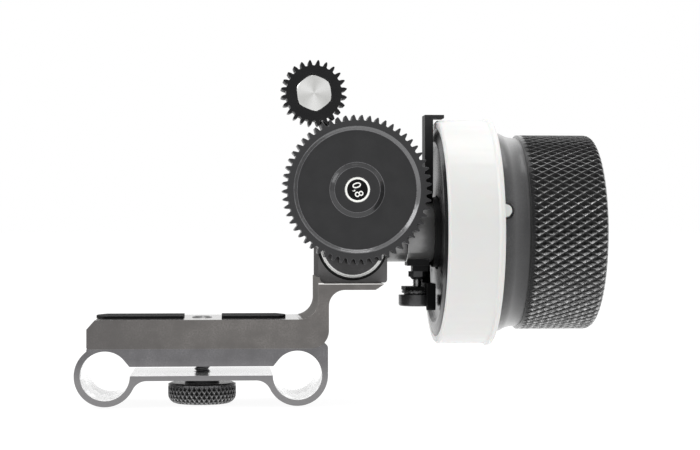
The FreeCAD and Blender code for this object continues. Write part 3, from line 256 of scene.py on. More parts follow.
def anodised(name, colour, metallic=0.55, roughness=0.42, grain=0.16 * MM, spread=0.16,
             sheen_level=0.5, velvet=0.0):
    """Bead-blasted, dyed aluminium: fine grain in the bump, faint clouds in tone and gloss."""
    material = bpy.data.materials.new(name)
    tree = node_tree(material)
    shader = add_node(tree, "ShaderNodeBsdfPrincipled", Metallic=metallic,
                      Specular_IOR_Level=sheen_level, Sheen_Weight=velvet, Sheen_Roughness=0.5)
    clouds = object_noise(tree, 6 * MM, 3.0)
    grains = object_noise(tree, grain, 3.0)
    darker, lighter = toned(colour, 1 - spread), toned(colour, 1 + spread)
    tone = blend_colours(tree, remap(tree, clouds, 0.35, 0.65, 0, 1), darker, lighter)
    speck = blend_colours(tree, remap(tree, grains, 0.3, 0.75, 0, 1), darker, tone)
    tree.links.new(speck, shader.inputs["Base Color"])
    gloss = remap(tree, grains, 0.3, 0.7, roughness - 0.05, roughness + 0.07)
    tree.links.new(gloss, shader.inputs["Roughness"])
    give_skin(tree, shader, grains, BLAST_BUMP, 0.008 * MM)
    return material


def worn_edge(name, colour):
    """The same dye on a broken edge, where the metal takes a polish and the dye is thin."""
    return anodised(name, colour, metallic=0.8, roughness=0.3, grain=0.6 * MM, spread=0.3)


def dress(nodes, material, edge_material=None, edge=0.15 * MM):
    """Finish for CAD nodes; with an edge material their sharp edges are broken by a bevel."""
    for name in nodes:
        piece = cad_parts[name]
        piece.data.materials.clear()
        piece.data.materials.append(material)
        if edge_material is None:
            continue
        piece.data.materials.append(edge_material)
        weld = piece.modifiers.new("weld", "WELD")
        weld.merge_threshold = 0.002 * MM
        bevel = piece.modifiers.new("broken_edge", "BEVEL")
        bevel.width = edge
        bevel.segments = 2
        bevel.limit_method = "ANGLE"
        bevel.angle_limit = math.radians(32)
        bevel.harden_normals = True
        bevel.material = 1


def coordinates(tree):
    """The piece's own X, Y and Z, in metres."""
    place = tree.nodes.new("ShaderNodeTexCoord")
    parts = tree.nodes.new("ShaderNodeSeparateXYZ")
    tree.links.new(place.outputs["Object"], parts.inputs[0])
    return parts.outputs["X"], parts.outputs["Y"], parts.outputs["Z"]


def distance(tree, first, second):
    """Length of a step made of two components."""
    squares = [calculate(tree, "MULTIPLY", value, value) for value in (first, second)]
    return calculate(tree, "SQRT", calculate(tree, "ADD", *squares), 0)


BLUR = 0.03 * MM


def above(tree, value, limit):
    """1 where the value is over the limit."""
    return remap(tree, value, limit - BLUR, limit + BLUR, 0.0, 1.0)


def below(tree, value, limit, blur=BLUR):
    """1 where the value is under the limit."""
    return remap(tree, value, limit - blur, limit + blur, 1.0, 0.0)


def all_of(tree, *masks):
    """1 where every mask is 1."""
    total = masks[0]
    for mask in masks[1:]:
        total = calculate(tree, "MULTIPLY", total, mask)
    return total


def finish_where(material, mask, colour, roughness):
    """Let another tone and gloss take over where the mask is 1."""
    tree = material.node_tree
    shader = the_node(tree, "BSDF_PRINCIPLED")
    tone, gloss = (shader.inputs[name].links[0].from_socket for name in ("Base Color", "Roughness"))
    tree.links.new(blend_colours(tree, mask, tone, colour), shader.inputs["Base Color"])
    kept = calculate(tree, "MULTIPLY", gloss, calculate(tree, "SUBTRACT", 1.0, mask))
    taken = calculate(tree, "MULTIPLY", mask, roughness)
    tree.links.new(calculate(tree, "ADD", kept, taken), shader.inputs["Roughness"])


clamp_grey = anodised("clamp_grey", srgb(108, 107, 109), metallic=0.6, roughness=0.38,
                      grain=0.5 * MM, spread=0.22)
clamp_edge = worn_edge("clamp_edge", srgb(190, 190, 190))
dress(["rod_clamp"], clamp_grey, clamp_edge)

# The walls of the bores and the slot are smooth; they are painted near white, a painted reflection
# of the white surround.
# The rings and the springing bar, below the plate, are painted lighter: painted light from below.
ROD_OFFSET = 30 * MM
BORE_EDGE = 8 * MM
SLOT_HALF, SLOT_FLOOR, SLOT_ROOF = 26 * MM, -0.1 * MM, 3 * MM
PLATE_UNDERSIDE, PAINTED_LIGHT_BLUR = 1.5 * MM, 3.5 * MM
FACE_SKIN = 0.06 * MM

tree = clamp_grey.node_tree
x, y, z = coordinates(tree)
aside = calculate(tree, "ABSOLUTE", x, 0)
from_rod = distance(tree, calculate(tree, "SUBTRACT", aside, ROD_OFFSET), z)
in_bore = below(tree, from_rod, BORE_EDGE)
in_slot = all_of(tree, below(tree, aside, SLOT_HALF), above(tree, z, SLOT_FLOOR),
                 below(tree, z, SLOT_ROOF))
painted_reflection_wall = all_of(tree, above(tree, y, FACE_SKIN), calculate(tree, "MAXIMUM", in_bore, in_slot))
# Painted light: below the plate the clamp is painted lighter.
finish_where(clamp_grey, below(tree, z, PLATE_UNDERSIDE, PAINTED_LIGHT_BLUR), srgb(126, 125, 126), 0.36)
# Painted reflection: the walls of the bores and the slot are painted near white.
finish_where(clamp_grey, painted_reflection_wall, srgb(250, 250, 250), 0.16)
tree.links.new(remap(tree, painted_reflection_wall, 0, 1, BLAST_BUMP, 0.05),
               the_node(tree, "BUMP").inputs["Strength"])

# ---------------------------------------------------------------- bridge and its trim
# Z-shaped bridge milled from the solid and anodised a warm dark grey, screwed down on the
# clamp. Two strips of black plastic lie on the bar, each side of the screw's steel bush; they stand
# in for the dark reflection along the bar's top, a painted reflection.


def dull_where(material, mask):
    """Leave only the matt share of the light where the mask is 1."""
    tree = material.node_tree
    shader = the_node(tree, "BSDF_PRINCIPLED")
    for name in ("Metallic", "Specular IOR Level"):
        level = shader.inputs[name].default_value
        tree.links.new(remap(tree, mask, 0, 1, level, 0.0), shader.inputs[name])


bridge_grey = anodised("bridge_grey", srgb(111, 108, 106), grain=0.5 * MM, spread=0.22,
                       sheen_level=0.3)
bridge_edge = worn_edge("bridge_edge", srgb(196, 194, 191))
dress(["bridge_bracket"], bridge_grey, bridge_edge)

# The front and rear faces are blasted; the milled top and underside of the bar are smoother.
# The side of the upright above the bar is matt, and the shelf's front edge is painted bright: a
# painted highlight.
BAR_LEFT, BAR_TOP, BAR_DEPTH = -36 * MM, 17.5 * MM, 35 * MM
UPRIGHT_LEFT = 36.6 * MM
SHELF_TOP = 28.7 * MM

tree = bridge_grey.node_tree
x, y, z = coordinates(tree)
# Painted shade: the bar is painted darker towards its left end.
finish_where(bridge_grey, remap(tree, x, BAR_LEFT, 0, 0.6, 0.0), srgb(82, 80, 80), 0.42)
milled = all_of(tree, above(tree, y, FACE_SKIN), below(tree, y, BAR_DEPTH - FACE_SKIN),
                below(tree, z, BAR_TOP + 0.4 * MM))
finish_where(bridge_grey, milled, srgb(120, 118, 116), 0.13)
inner_side = all_of(tree, above(tree, y, FACE_SKIN), above(tree, z, BAR_TOP + 0.1 * MM),
                    below(tree, x, UPRIGHT_LEFT + 0.6 * MM))
finish_where(bridge_grey, inner_side, srgb(116, 114, 112), 0.6)
dull_where(bridge_grey, inner_side)
# Painted highlight: a bright line along the shelf's front edge.
shelf_highlight = all_of(tree, above(tree, z, SHELF_TOP - 0.25 * MM),
                    below(tree, z, SHELF_TOP + 0.2 * MM), below(tree, y, 0.3 * MM))
finish_where(bridge_grey, shelf_highlight, srgb(226, 224, 222), 0.3)


def moulded(name, colour, roughness=0.5, sheen_level=0.5):
    """Hard plastic or paint with a fine grain."""
    material = bpy.data.materials.new(name)
    tree = node_tree(material)
    shader = add_node(tree, "ShaderNodeBsdfPrincipled", Metallic=0.0,
                      Specular_IOR_Level=sheen_level)
    grains = object_noise(tree, 0.3 * MM, 3.0)
    tone = blend_colours(tree, grains, colour, toned(colour, 1.35))
    tree.links.new(tone, shader.inputs["Base Color"])
    gloss = remap(tree, grains, 0.3, 0.7, roughness - 0.08, roughness + 0.08)
    tree.links.new(gloss, shader.inputs["Roughness"])
    give_skin(tree, shader, grains, 0.4, 0.01 * MM)
    return material


# Painted reflection: black strips where the bar's top shows a dark reflection.
strip_black = moulded("strip_black", srgb(20, 20, 21), roughness=0.8, sheen_level=0.1)
dress(["grip_strip_left", "grip_strip_right"], strip_black)
dress(["clamp_bush"], anodised("bush_steel", srgb(150, 150, 150), metallic=1.0, roughness=0.3))
screw_black = anodised("screw_black", srgb(42, 42, 44), metallic=0.4, roughness=0.35)
dress(["clamp_screws", "housing_screws", "cover_screws", "arm_screws"], screw_black)

# ---------------------------------------------------------------- gearbox
# Box milled from aluminium with a lid screwed on behind, anodised a dark grey. In front a
# turned cap closes the cross shaft's bore; a thin white ring is let into its groove.


def round_box(node, axis):
    """Centre, radius and ends of a round CAD node about the X, Y or Z axis (0, 1 or 2)."""
    low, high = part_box(node)
    side = (axis + 1) % 3
    return (low + high) / 2, (high[side] - low[side]) / 2, low[axis], high[axis]


def radius_about(tree, centre):
    """Distance of a point from an axis along Y."""
    x, y, z = coordinates(tree)
    return distance(tree, calculate(tree, "SUBTRACT", x, centre.x),
                    calculate(tree, "SUBTRACT", z, centre.z))


def between(tree, value, low, high):
    """1 where the value is within two limits."""
    return all_of(tree, above(tree, value, low), below(tree, value, high))


gearbox_grey = anodised("gearbox_grey", srgb(112, 111, 111), roughness=0.5, sheen_level=0.2,
                        spread=0.2)
gearbox_edge = worn_edge("gearbox_edge", srgb(140, 138, 136))
dress(["gearbox_housing", "rear_cover"], gearbox_grey, gearbox_edge)
dress(["cap_ring"], moulded("ring_white", srgb(250, 250, 248), roughness=0.4))

# White paint laps over the inner side of the groove; about the cap a black ring is painted, as
# painted shade in the gap.
PAINT_LAP = (9.6 * MM, 10.1 * MM)
CAP_RIM = 10.45 * MM
SHADE_BAND = (10.5 * MM, 11.35 * MM)
SHADE_BAND_DEPTH = 0.75 * MM

cap_centre, _, cap_front, _ = round_box("front_cap", 1)
cap_grey = anodised("cap_grey", srgb(80, 79, 80), metallic=0.4, roughness=0.4, grain=0.5 * MM,
                    spread=0.3)
tree = cap_grey.node_tree
from_cap = radius_about(tree, cap_centre)
finish_where(cap_grey, between(tree, from_cap, *PAINT_LAP), srgb(250, 250, 248), 0.4)
# Painted shade: the cap's outer rim is painted black.
finish_where(cap_grey, above(tree, from_cap, CAP_RIM), srgb(12, 12, 12), 0.5)
dress(["front_cap"], cap_grey)

# About the cap the box is painted black too, as painted shade in the gap; its left wall is matt and
# painted darker, as painted shade.
tree = gearbox_grey.node_tree
x, y, z = coordinates(tree)
from_cap = radius_about(tree, cap_centre)
cap_gap_shade = all_of(tree, between(tree, from_cap, *SHADE_BAND),
                    below(tree, y, cap_front + SHADE_BAND_DEPTH))
# Painted shade: a black ring on the box about the cap.
finish_where(gearbox_grey, cap_gap_shade, srgb(14, 14, 14), 0.5)
shaded_left_wall = below(tree, x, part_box("gearbox_housing")[0].x + FACE_SKIN)
# Painted shade: the left wall is painted darker than the front.
finish_where(gearbox_grey, shaded_left_wall, srgb(86, 85, 85), 0.6)
dull_where(gearbox_grey, shaded_left_wall)

# ---------------------------------------------------------------- shafts, bushes and inner gears
# Ground steel shafts in bronze bushes, and the gears that sit on them inside the box. They
# are seen only at their ends.

ground_steel = anodised("ground_steel", srgb(170, 170, 168), metallic=1.0, roughness=0.25,
                        spread=0.06)
bronze = anodised("bush_bronze", srgb(150, 116, 74), metallic=1.0, roughness=0.4, spread=0.1)
dress(["cross_shaft", "handwheel_shaft", "gear_spindle"], ground_steel)
dress(["bevel_gear", "bevel_pinion", "transfer_gear", "spindle_gear"], ground_steel)
dress(["cross_bush_front", "cross_bush_rear", "spindle_bush_front", "spindle_bush_rear",
       "wheel_bush_left", "wheel_bush_right", "idler_bush"], bronze)
dress(["spindle_spacer"], anodised("spacer_black", srgb(40, 40, 42)))

# ---------------------------------------------------------------- idler arm
# Milled link on the gearbox's lobe that carries the small gear; anodised black.

arm_black = anodised("arm_black", srgb(24, 24, 25), metallic=0.2, roughness=0.5,
                     sheen_level=0.2)
dress(["idler_arm"], arm_black, worn_edge("arm_edge", srgb(80, 80, 80)))

# ---------------------------------------------------------------- bearing of the handwheel
# A turned flange and the bearing housing behind the wheel, clear anodised over blasted
# metal. The black index plate hugs the housing; the thumb screw's block hangs under it.

bearing_grey = anodised("bearing_grey", srgb(132, 132, 132), metallic=0.7, roughness=0.34)
bearing_edge = worn_edge("bearing_edge", srgb(205, 205, 205))
dress(["bearing_flange", "bearing_housing"], bearing_grey, bearing_edge)
dress(["housing_collar"], arm_black)

# The plate is painted darker from the tab down, as painted shade on its body, which goes down
# behind the gear.
TAB_FOOT, BODY_TOP = 74 * MM, 52 * MM

index_black = anodised("index_black", srgb(56, 56, 57), metallic=0.2, roughness=0.55,
                       sheen_level=0.1)
tree = index_black.node_tree
x, y, z = coordinates(tree)
# Painted shade: the plate is darker towards the bottom.
finish_where(index_black, remap(tree, z, TAB_FOOT, BODY_TOP, 0.0, 1.0), srgb(8, 8, 8), 0.7)
dress(["index_plate"], index_black, worn_edge("index_edge", srgb(52, 52, 52)), 0.2 * MM)
dress(["screw_block"], arm_black, worn_edge("block_edge", srgb(70, 70, 70)), 0.1 * MM)
dress(["lock_nut"], anodised("nut_grey", srgb(84, 84, 85)))

# ---------------------------------------------------------------- backing plate and marking disc
# A dished black plate is screwed to the hub and holds the marking disc against its flange.
# The disc is a turned drum of milky white plastic that takes pencil and marker.

plate_black = anodised("plate_black", srgb(52, 52, 53), metallic=0.6, roughness=0.28,
                       sheen_level=0.3)
dress(["backing_plate"], plate_black, worn_edge("plate_edge", srgb(110, 110, 112)), 0.12 * MM)
dress(["plate_screws"], screw_black)


def milky_plastic(name, colour):
    """White plastic that lets a little light through, with a soft satin skin."""
    material = bpy.data.materials.new(name)
    tree = node_tree(material)
    shader = add_node(tree, "ShaderNodeBsdfPrincipled", Metallic=0.0, Subsurface_Weight=0.25,
                      Subsurface_Scale=1.5 * MM, Coat_Weight=0.15, Coat_Roughness=0.25,
                      Sheen_Weight=0.7, Sheen_Roughness=0.5)
    clouds = object_noise(tree, 9 * MM, 2.0)
    grains = object_noise(tree, 0.25 * MM, 2.0)
    tone = blend_colours(tree, clouds, toned(colour, 0.97), colour)
    tree.links.new(tone, shader.inputs["Base Color"])
    tree.links.new(remap(tree, grains, 0.3, 0.7, 0.36, 0.5), shader.inputs["Roughness"])
    give_skin(tree, shader, grains, 0.25, 0.006 * MM)
    return material


disc_white = milky_plastic("disc_white", srgb(219, 219, 217))
dress(["marking_disc"], disc_white, disc_white, 0.1 * MM)

# ---------------------------------------------------------------- hub, grip and crank socket
# The hub is turned from one bar and anodised satin black. The grip is a ring with a deep
# diamond knurl, pressed on it; a lid and the square crank socket close the far end.

hub_black = anodised("hub_black", srgb(50, 50, 51), metallic=0.5, roughness=0.24, velvet=1.0)
dress(["wheel_hub"], hub_black, worn_edge("hub_edge", srgb(120, 120, 122)))
lid_black = anodised("lid_black", srgb(58, 58, 59), metallic=0.5, roughness=0.3)
dress(["end_cap"], lid_black, worn_edge("lid_edge", srgb(110, 110, 112)))
dress(["end_cap_screws", "hub_setscrew"], screw_black)
dress(["crank_socket"], ground_steel)


def knurl_net(radius, around, rows, rise, straight, corner, groove, ridge, gleam_way):
    """Net of ridges rolled about Z, up a straight side from z = 0 and over a round corner.

    The ridges cross at the nodes of the net and leave diamond-shaped pits. The crest attribute
    is 1 on the ridges and 0 in the pits; gleam is 1 on the side of a pit that gets a painted
    highlight.
    """
    girth, run = 2 * math.pi * radius, rows * rise
    net = bmesh.new()
    bmesh.ops.create_grid(net, x_segments=around, y_segments=rows, size=0.5)
    bmesh.ops.scale(net, vec=(girth, run, 1), verts=net.verts)
    bmesh.ops.translate(net, vec=(0, run / 2, 0), verts=net.verts)
    lattice = [edge for edge in net.edges if len(edge.link_faces) == 2]
    bmesh.ops.poke(net, faces=net.faces)
    bmesh.ops.dissolve_edges(net, edges=lattice, use_verts=False)
    half_width, half_height = girth / around / 2, rise / 2
    inner_circle = half_width * half_height / math.hypot(half_width, half_height)
    whole = [face for face in net.faces if len(face.verts) == 4]
    halved = [face for face in net.faces
              if len(face.verts) == 3 and face.calc_center_median().y < rise]
    inner = [edge for edge in net.edges if len(edge.link_faces) == 2]
    bmesh.ops.subdivide_edges(net, edges=inner, cuts=1)
    gleam = net.verts.layers.float.new("gleam")
    for share, pits in ((0.9, whole), (0.45, halved)):
        bmesh.ops.inset_individual(net, faces=pits, thickness=ridge, depth=0,
                                   use_even_offset=True)
        for pit in pits:
            middle = pit.calc_center_bounds()
            for vert in pit.verts:
                step = vert.co - middle
                vert[gleam] = max(0.0, step.x / half_width * gleam_way[0]
                                  + step.y / half_height * gleam_way[1])
        bmesh.ops.inset_individual(net, faces=pits, thickness=inner_circle * share - ridge,
                                   depth=-groove * share, use_even_offset=True)
        for pit in pits:
            for vert in pit.verts:
                vert[gleam] = 0.0
    height = net.verts.layers.float.new("crest")
    for vert in net.verts:
        turn, along, sunk = vert.co.x / radius, vert.co.y, vert.co.z
        vert[height] = 1 + sunk / groove
        bend = max(0.0, along - straight) / corner
        out = radius - corner + (corner + sunk) * math.cos(bend)
        up = min(along, straight) + (corner + sunk) * math.sin(bend)
        vert.co = (out * math.cos(turn), out * math.sin(turn), up)
    bmesh.ops.remove_doubles(net, verts=net.verts, dist=0.001 * MM)
    return net


def rim_loops(mesh):
    """Open rims of a rolled sheet, the lower one first."""
    rims = [edge for edge in mesh.edges if len(edge.link_faces) == 1]
    middle = sum(edge.verts[0].co.z for edge in rims) / len(rims)
    return ([edge for edge in rims if edge.verts[0].co.z < middle],
            [edge for edge in rims if edge.verts[0].co.z >= middle])


def draw_in(mesh, rim, radius, level):
    """Carry a rim on to a circle of another radius and height; gives the new rim."""
    grown = bmesh.ops.extrude_edge_only(mesh, edges=rim)["geom"]
    height = mesh.verts.layers.float["crest"]
    for vert in (item for item in grown if isinstance(item, bmesh.types.BMVert)):
        vert[height] = 0.0
        scale = radius / math.hypot(vert.co.x, vert.co.y)
        vert.co = (vert.co.x * scale, vert.co.y * scale, level)
    return [item for item in grown if isinstance(item, bmesh.types.BMEdge)]


def as_piece(name, mesh, place, material, body, node):
    """Object from a mesh built about Z, moved to its place and standing for a CAD node."""
    bmesh.ops.transform(mesh, matrix=place, verts=mesh.verts)
    bmesh.ops.recalc_face_normals(mesh, faces=mesh.faces)
    data = bpy.data.meshes.new(name)
    mesh.to_mesh(data)
    mesh.free()
    data.materials.append(material)
    piece = bpy.data.objects.new(name, data)
    scene.collection.objects.link(piece)
    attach(piece, body)
    if node:
        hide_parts(node)


def own_value(tree, name):
    """Attribute of the piece's own mesh."""
    reader = tree.nodes.new("ShaderNodeAttribute")
    reader.attribute_name = name
    return reader.outputs["Fac"]


def knurled_finish(name, pit, crest, glint, velvet):
    """Black anodised knurl: pits painted dark as painted shade, ridges lighter from wear and
    painted highlight, and a painted highlight on one side of each pit.
    """
    material = bpy.data.materials.new(name)
    tree = node_tree(material)
    shader = add_node(tree, "ShaderNodeBsdfPrincipled", Metallic=0.5, Specular_IOR_Level=0.25,
                      Sheen_Weight=velvet, Sheen_Roughness=0.35)
    grains = object_noise(tree, 0.2 * MM, 3.0)
    patches = object_noise(tree, 1.3 * MM, 2.0)
    crest_wear_and_glint = remap(tree, own_value(tree, "crest"), 0.6, 1.0, 0.0, 1.0)
    shiny = remap(tree, own_value(tree, "gleam"), 0.15, 0.8, 0.0, 1.0)
    uneven = calculate(tree, "MULTIPLY", shiny, remap(tree, patches, 0.3, 0.6, 0.55, 1.0))
    tone = blend_colours(tree, uneven, blend_colours(tree, crest_wear_and_glint, pit, crest), glint)
    speck = blend_colours(tree, remap(tree, grains, 0.38, 0.58, 0, 1), toned(pit, 0.6), tone)
    tree.links.new(speck, shader.inputs["Base Color"])
    tree.links.new(remap(tree, grains, 0.3, 0.7, 0.16, 0.28), shader.inputs["Roughness"])
    give_skin(tree, shader, grains, 0.4, 0.01 * MM)
    return material


GRIP_STRAIGHT, GRIP_CORNER = 22.06 * MM, 2.5 * MM
GRIP_LEAD, GRIP_CHAMFER = 0.3 * MM, 0.95 * MM
GRIP_BORE = 24.05 * MM

grip_centre, grip_radius, grip_left, _ = round_box("knurled_grip", 0)
grip_mesh = knurl_net(grip_radius, around=80, rows=6, rise=4.19 * MM, straight=GRIP_STRAIGHT,
                      corner=GRIP_CORNER, groove=0.75 * MM, ridge=0.07 * MM,
                      gleam_way=(1.0, 0.3))
left_rim, right_rim = rim_loops(grip_mesh)
left_rim = draw_in(grip_mesh, left_rim, grip_radius - GRIP_CHAMFER, -GRIP_LEAD)
left_rim = draw_in(grip_mesh, left_rim, GRIP_BORE, -GRIP_LEAD)
right_rim = draw_in(grip_mesh, right_rim, GRIP_BORE, right_rim[0].verts[0].co.z)
bmesh.ops.bridge_loops(grip_mesh, edges=left_rim + right_rim)
to_grip = (Matrix.Translation((grip_left + GRIP_LEAD, grip_centre.y, grip_centre.z))
           @ Matrix.Rotation(math.pi / 2, 4, "Y"))
# Painted shade in the pits, wear and painted highlight on the ridges, a painted highlight on one
# side of each pit.
grip_black = knurled_finish("grip_black", pit=srgb(6, 6, 6), crest=srgb(40, 40, 41),
                            glint=srgb(235, 235, 235), velvet=0.6)
as_piece("grip_knurl", grip_mesh, to_grip, grip_black, "handwheel",
         "knurled_grip")

# ---------------------------------------------------------------- drive gear and its badge
# Blank turned from black anodised aluminium, hobbed with 57 teeth and dished on both sides.
# A small pressed badge in its hub shows the tooth module as a plain number.


def lathe_turned(name, colour, centre, metallic=0.5, roughness=0.36, sheen_level=0.3):
    """Anodised finish over the fine rings that a lathe leaves about the Y axis."""
    material = anodised(name, colour, metallic=metallic, roughness=roughness,
                        sheen_level=sheen_level)
    tree = material.node_tree
    shader = the_node(tree, "BSDF_PRINCIPLED")
    place = tree.nodes.new("ShaderNodeTexCoord")
    centred = add_node(tree, "ShaderNodeMapping", Location=tuple(-c for c in centre))
    tree.links.new(place.outputs["Object"], centred.inputs["Vector"])
    rings = add_node(tree, "ShaderNodeTexWave", Scale=900.0, Distortion=0.6, Detail=1.0)
    rings.wave_type = "RINGS"
    rings.rings_direction = "Y"
    tree.links.new(centred.outputs[0], rings.inputs["Vector"])
    bump = add_node(tree, "ShaderNodeBump", Strength=0.35, Distance=0.01 * MM)
    tree.links.new(rings.outputs[0], bump.inputs["Height"])
    tree.links.new(shader.inputs["Normal"].links[0].from_socket, bump.inputs["Normal"])
    tree.links.new(bump.outputs[0], shader.inputs["Normal"])
    return material


gear_centre = round_box("drive_gear", 1)[0]
gear_black = lathe_turned("gear_black", srgb(50, 50, 51), gear_centre)
gear_edge = worn_edge("gear_edge", srgb(108, 108, 110))
dress(["drive_gear"], gear_black, gear_edge, 0.08 * MM)

# The two cones of the dish are turned last and shine; the toothed rim stays a little lighter.
OUTER_CONE = (18.9 * MM, 20 * MM)
BOSS_CONE = (7.2 * MM, 8.7 * MM)
TOOTHED_RIM = 20.05 * MM

tree = gear_black.node_tree
from_axis = radius_about(tree, gear_centre)
finish_where(gear_black, between(tree, from_axis, *OUTER_CONE), srgb(108, 108, 109), 0.16)
finish_where(gear_black, between(tree, from_axis, *BOSS_CONE), srgb(66, 66, 67), 0.14)
finish_where(gear_black, above(tree, from_axis, TOOTHED_RIM), srgb(54, 54, 55), 0.42)

# The badge is black, with a raised white ring and a raised white number that stands askew.
BADGE_RING = (3.3 * MM, 3.95 * MM)
PRINT_HEIGHT = 0.04 * MM
PRINT_GAP = 0.01 * MM
NUMBER_SIZE = 3.9 * MM
NUMBER_TURN = math.radians(-74)

dress(["gear_badge"],
      moulded("badge_black", srgb(10, 10, 10), roughness=0.3, sheen_level=0.1))
badge_white = moulded("badge_white", srgb(236, 236, 232), roughness=0.45)
badge_centre, _, badge_front, _ = round_box("gear_badge", 1)
facing = (Matrix.Translation((badge_centre.x, badge_front + PRINT_GAP, badge_centre.z))
          @ Matrix.Rotation(math.pi / 2, 4, "X"))
badge_ring = bmesh.new()
inside, outside = BADGE_RING
section = [badge_ring.verts.new(corner) for corner in (
    (inside, 0, 0), (outside, 0, 0), (outside, 0, PRINT_HEIGHT), (inside, 0, PRINT_HEIGHT))]
section_edges = [badge_ring.edges.new((section[i], section[(i + 1) % 4])) for i in range(4)]
bmesh.ops.spin(badge_ring, geom=section + section_edges, cent=(0, 0, 0), axis=(0, 0, 1),
               angle=2 * math.pi, steps=72, use_merge=True)
as_piece("badge_ring", badge_ring, facing, badge_white, "drive", None)

number = bpy.data.curves.new("badge_number", "FONT")
number.body = "0,8"
number.size = NUMBER_SIZE
number.align_x = "CENTER"
number.align_y = "CENTER"
number.extrude = PRINT_HEIGHT / 2
number_object = bpy.data.objects.new("badge_number_text", number)
scene.collection.objects.link(number_object)
bpy.context.view_layer.update()
number_mesh = bmesh.new()
number_mesh.from_mesh(bpy.data.meshes.new_from_object(number_object))
bpy.data.objects.remove(number_object)
bmesh.ops.remove_doubles(number_mesh, verts=number_mesh.verts, dist=0.001 * MM)
to_number = (facing @ Matrix.Translation((0, 0, PRINT_HEIGHT / 2))
             @ Matrix.Rotation(NUMBER_TURN, 4, "Z"))
as_piece("badge_number", number_mesh, to_number, badge_white, "drive", None)

# ---------------------------------------------------------------- small gear on its hexagon
# Black anodised gear of 24 teeth that slides on a bright steel hexagon bar. The bar's end is
# faced on the lathe; three rays of painted highlight on it stand in for its gleam.


def angle_about(tree, centre):
    """Angle of a point about an axis along Y, in radians."""
    x, y, z = coordinates(tree)
    return calculate(tree, "ARCTAN2", calculate(tree, "SUBTRACT", z, centre.z),
                     calculate(tree, "SUBTRACT", x, centre.x))


small_centre = round_box("hex_axle", 1)[0]
small_black = lathe_turned("small_gear_black", srgb(34, 34, 35), small_centre, metallic=0.3,
                           roughness=0.5, sheen_level=0.1)
dress(["small_gear"], small_black, worn_edge("small_edge", srgb(70, 70, 71)), 0.08 * MM)
hexagon_steel = lathe_turned("hexagon_steel", srgb(196, 196, 194), small_centre, metallic=1.0,
                             roughness=0.3)
dress(["hex_axle"], hexagon_steel, ground_steel, 0.06 * MM)
tree = hexagon_steel.node_tree
# Painted highlight: three lighter rays about the bar's axis.
three_turns = calculate(tree, "MULTIPLY", angle_about(tree, small_centre), 3.0)
painted_rays = remap(tree, calculate(tree, "SINE", three_turns, 0), -1, 1, 0.0, 0.6)
finish_where(hexagon_steel, painted_rays, srgb(232, 232, 231), 0.24)
dress(["axle_clip"], ground_steel)

# ---------------------------------------------------------------- clamp screw and knob
# Black steel screw with a knurled aluminium knob: it pulls the springing bar up against
# the bridge. Its threads show in the clamping slot.


def threaded_bar(radius, depth, pitch, length, steps):
    """Bar about Z with a helical V thread from z = 0 up."""
    bar = bmesh.new()
    turns = math.ceil(length / pitch)
    profile = [bar.verts.new((radius - drop, 0, height * pitch)) for drop, height in (
        (depth, 0.0), (depth, 0.1), (0.0, 0.48), (0.0, 0.6), (depth, 1.0))]
    strip = [bar.edges.new(pair) for pair in zip(profile, profile[1:])]
    bmesh.ops.spin(bar, geom=profile + strip, cent=(0, 0, 0), axis=(0, 0, 1),
                   dvec=(0, 0, pitch / steps), angle=2 * math.pi * turns, steps=steps * turns)
    bmesh.ops.remove_doubles(bar, verts=bar.verts, dist=0.002 * MM)
    return bar


def cut_to_length(mesh, low, high):
    """Cut a bar about Z square at both ends and close them."""
    for level, outward in ((low, -1), (high, 1)):
        geometry = list(mesh.verts) + list(mesh.edges) + list(mesh.faces)
        cut = bmesh.ops.bisect_plane(mesh, geom=geometry, plane_co=(0, 0, level),
                                     plane_no=(0, 0, outward), clear_outer=True,
                                     dist=0.0001 * MM)
        rim = [item for item in cut["geom_cut"] if isinstance(item, bmesh.types.BMEdge)]
        bmesh.ops.edgeloop_fill(mesh, edges=rim)


def threaded_screw(name, node, depth, pitch, steps, steel, body):
    """Screw about Z with a real thread, in the place of its plain CAD node."""
    centre, radius, low, high = round_box(node, 2)
    bar = threaded_bar(radius, depth, pitch, high - low + 2 * pitch, steps)
    cut_to_length(bar, pitch, pitch + high - low)
    place = Matrix.Translation((centre.x, centre.y, low - pitch))
    as_piece(name, bar, place, steel, body, node)


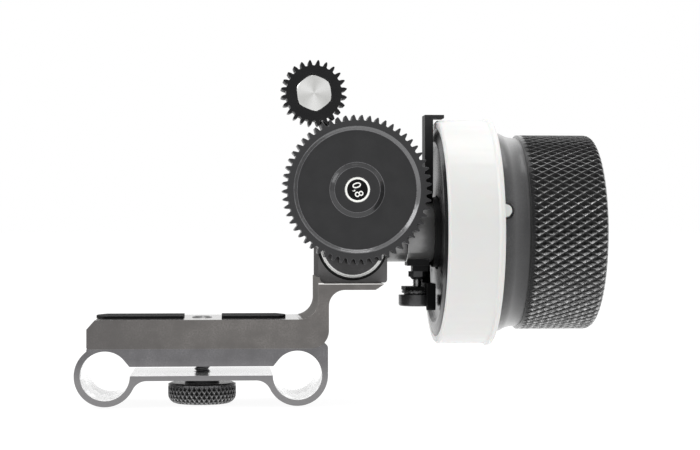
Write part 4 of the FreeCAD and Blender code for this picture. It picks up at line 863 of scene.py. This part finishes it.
clamp_steel = anodised("clamp_steel", srgb(104, 104, 105), metallic=0.7, roughness=0.3,
                       grain=0.4 * MM)
threaded_screw("clamp_thread", "clamp_screw", depth=0.55 * MM, pitch=1.25 * MM, steps=36,
               steel=clamp_steel, body="clamp_turn")

KNOB_STRAIGHT, KNOB_CORNER = 3.3 * MM, 3 * MM
KNOB_LEAD, KNOB_CHAMFER = 0.4 * MM, 0.9 * MM

knob_centre, knob_radius, _, knob_high = round_box("clamp_knob", 2)
knob_mesh = knurl_net(knob_radius, around=42, rows=3, rise=2.64 * MM, straight=KNOB_STRAIGHT,
                      corner=KNOB_CORNER, groove=0.5 * MM, ridge=0.06 * MM,
                      gleam_way=(0.2, 1.0))
top_rim, bottom_rim = rim_loops(knob_mesh)
top_rim = draw_in(knob_mesh, top_rim, knob_radius - KNOB_CHAMFER, -KNOB_LEAD)
bmesh.ops.edgeloop_fill(knob_mesh, edges=top_rim)
bmesh.ops.edgeloop_fill(knob_mesh, edges=bottom_rim)
to_knob = (Matrix.Translation((knob_centre.x, knob_centre.y, knob_high - KNOB_LEAD))
           @ Matrix.Rotation(math.pi, 4, "X"))
# Painted shade in the pits, wear and painted highlight on the ridges, a painted highlight on one
# side of each pit.
knob_black = knurled_finish("knob_black", pit=srgb(20, 20, 21), crest=srgb(116, 116, 117),
                            glint=srgb(250, 250, 250), velvet=0.2)
as_piece("clamp_knob_knurl", knob_mesh, to_knob, knob_black, "clamp_turn",
         "clamp_knob")
dress(["clamp_washer"], screw_black)

# ---------------------------------------------------------------- thumb screw
# Small steel screw with a plain satin wheel: it presses on the handwheel's bearing to set
# the drag. Two washers sit between the wheel and the foot of the index plate.

lock_steel = anodised("lock_steel", srgb(190, 190, 190), metallic=1.0, roughness=0.22,
                      spread=0.1)
threaded_screw("lock_thread", "lock_screw", depth=0.22 * MM, pitch=0.5 * MM, steps=24,
               steel=lock_steel, body="lock_turn")
thumb_grey = anodised("thumb_grey", srgb(78, 78, 79), metallic=0.6, roughness=0.3)
dress(["thumb_wheel"], thumb_grey, worn_edge("thumb_edge", srgb(130, 130, 130)))
dress(["lock_washers"], thumb_grey, worn_edge("washer_edge", srgb(220, 220, 220)), 0.12 * MM)
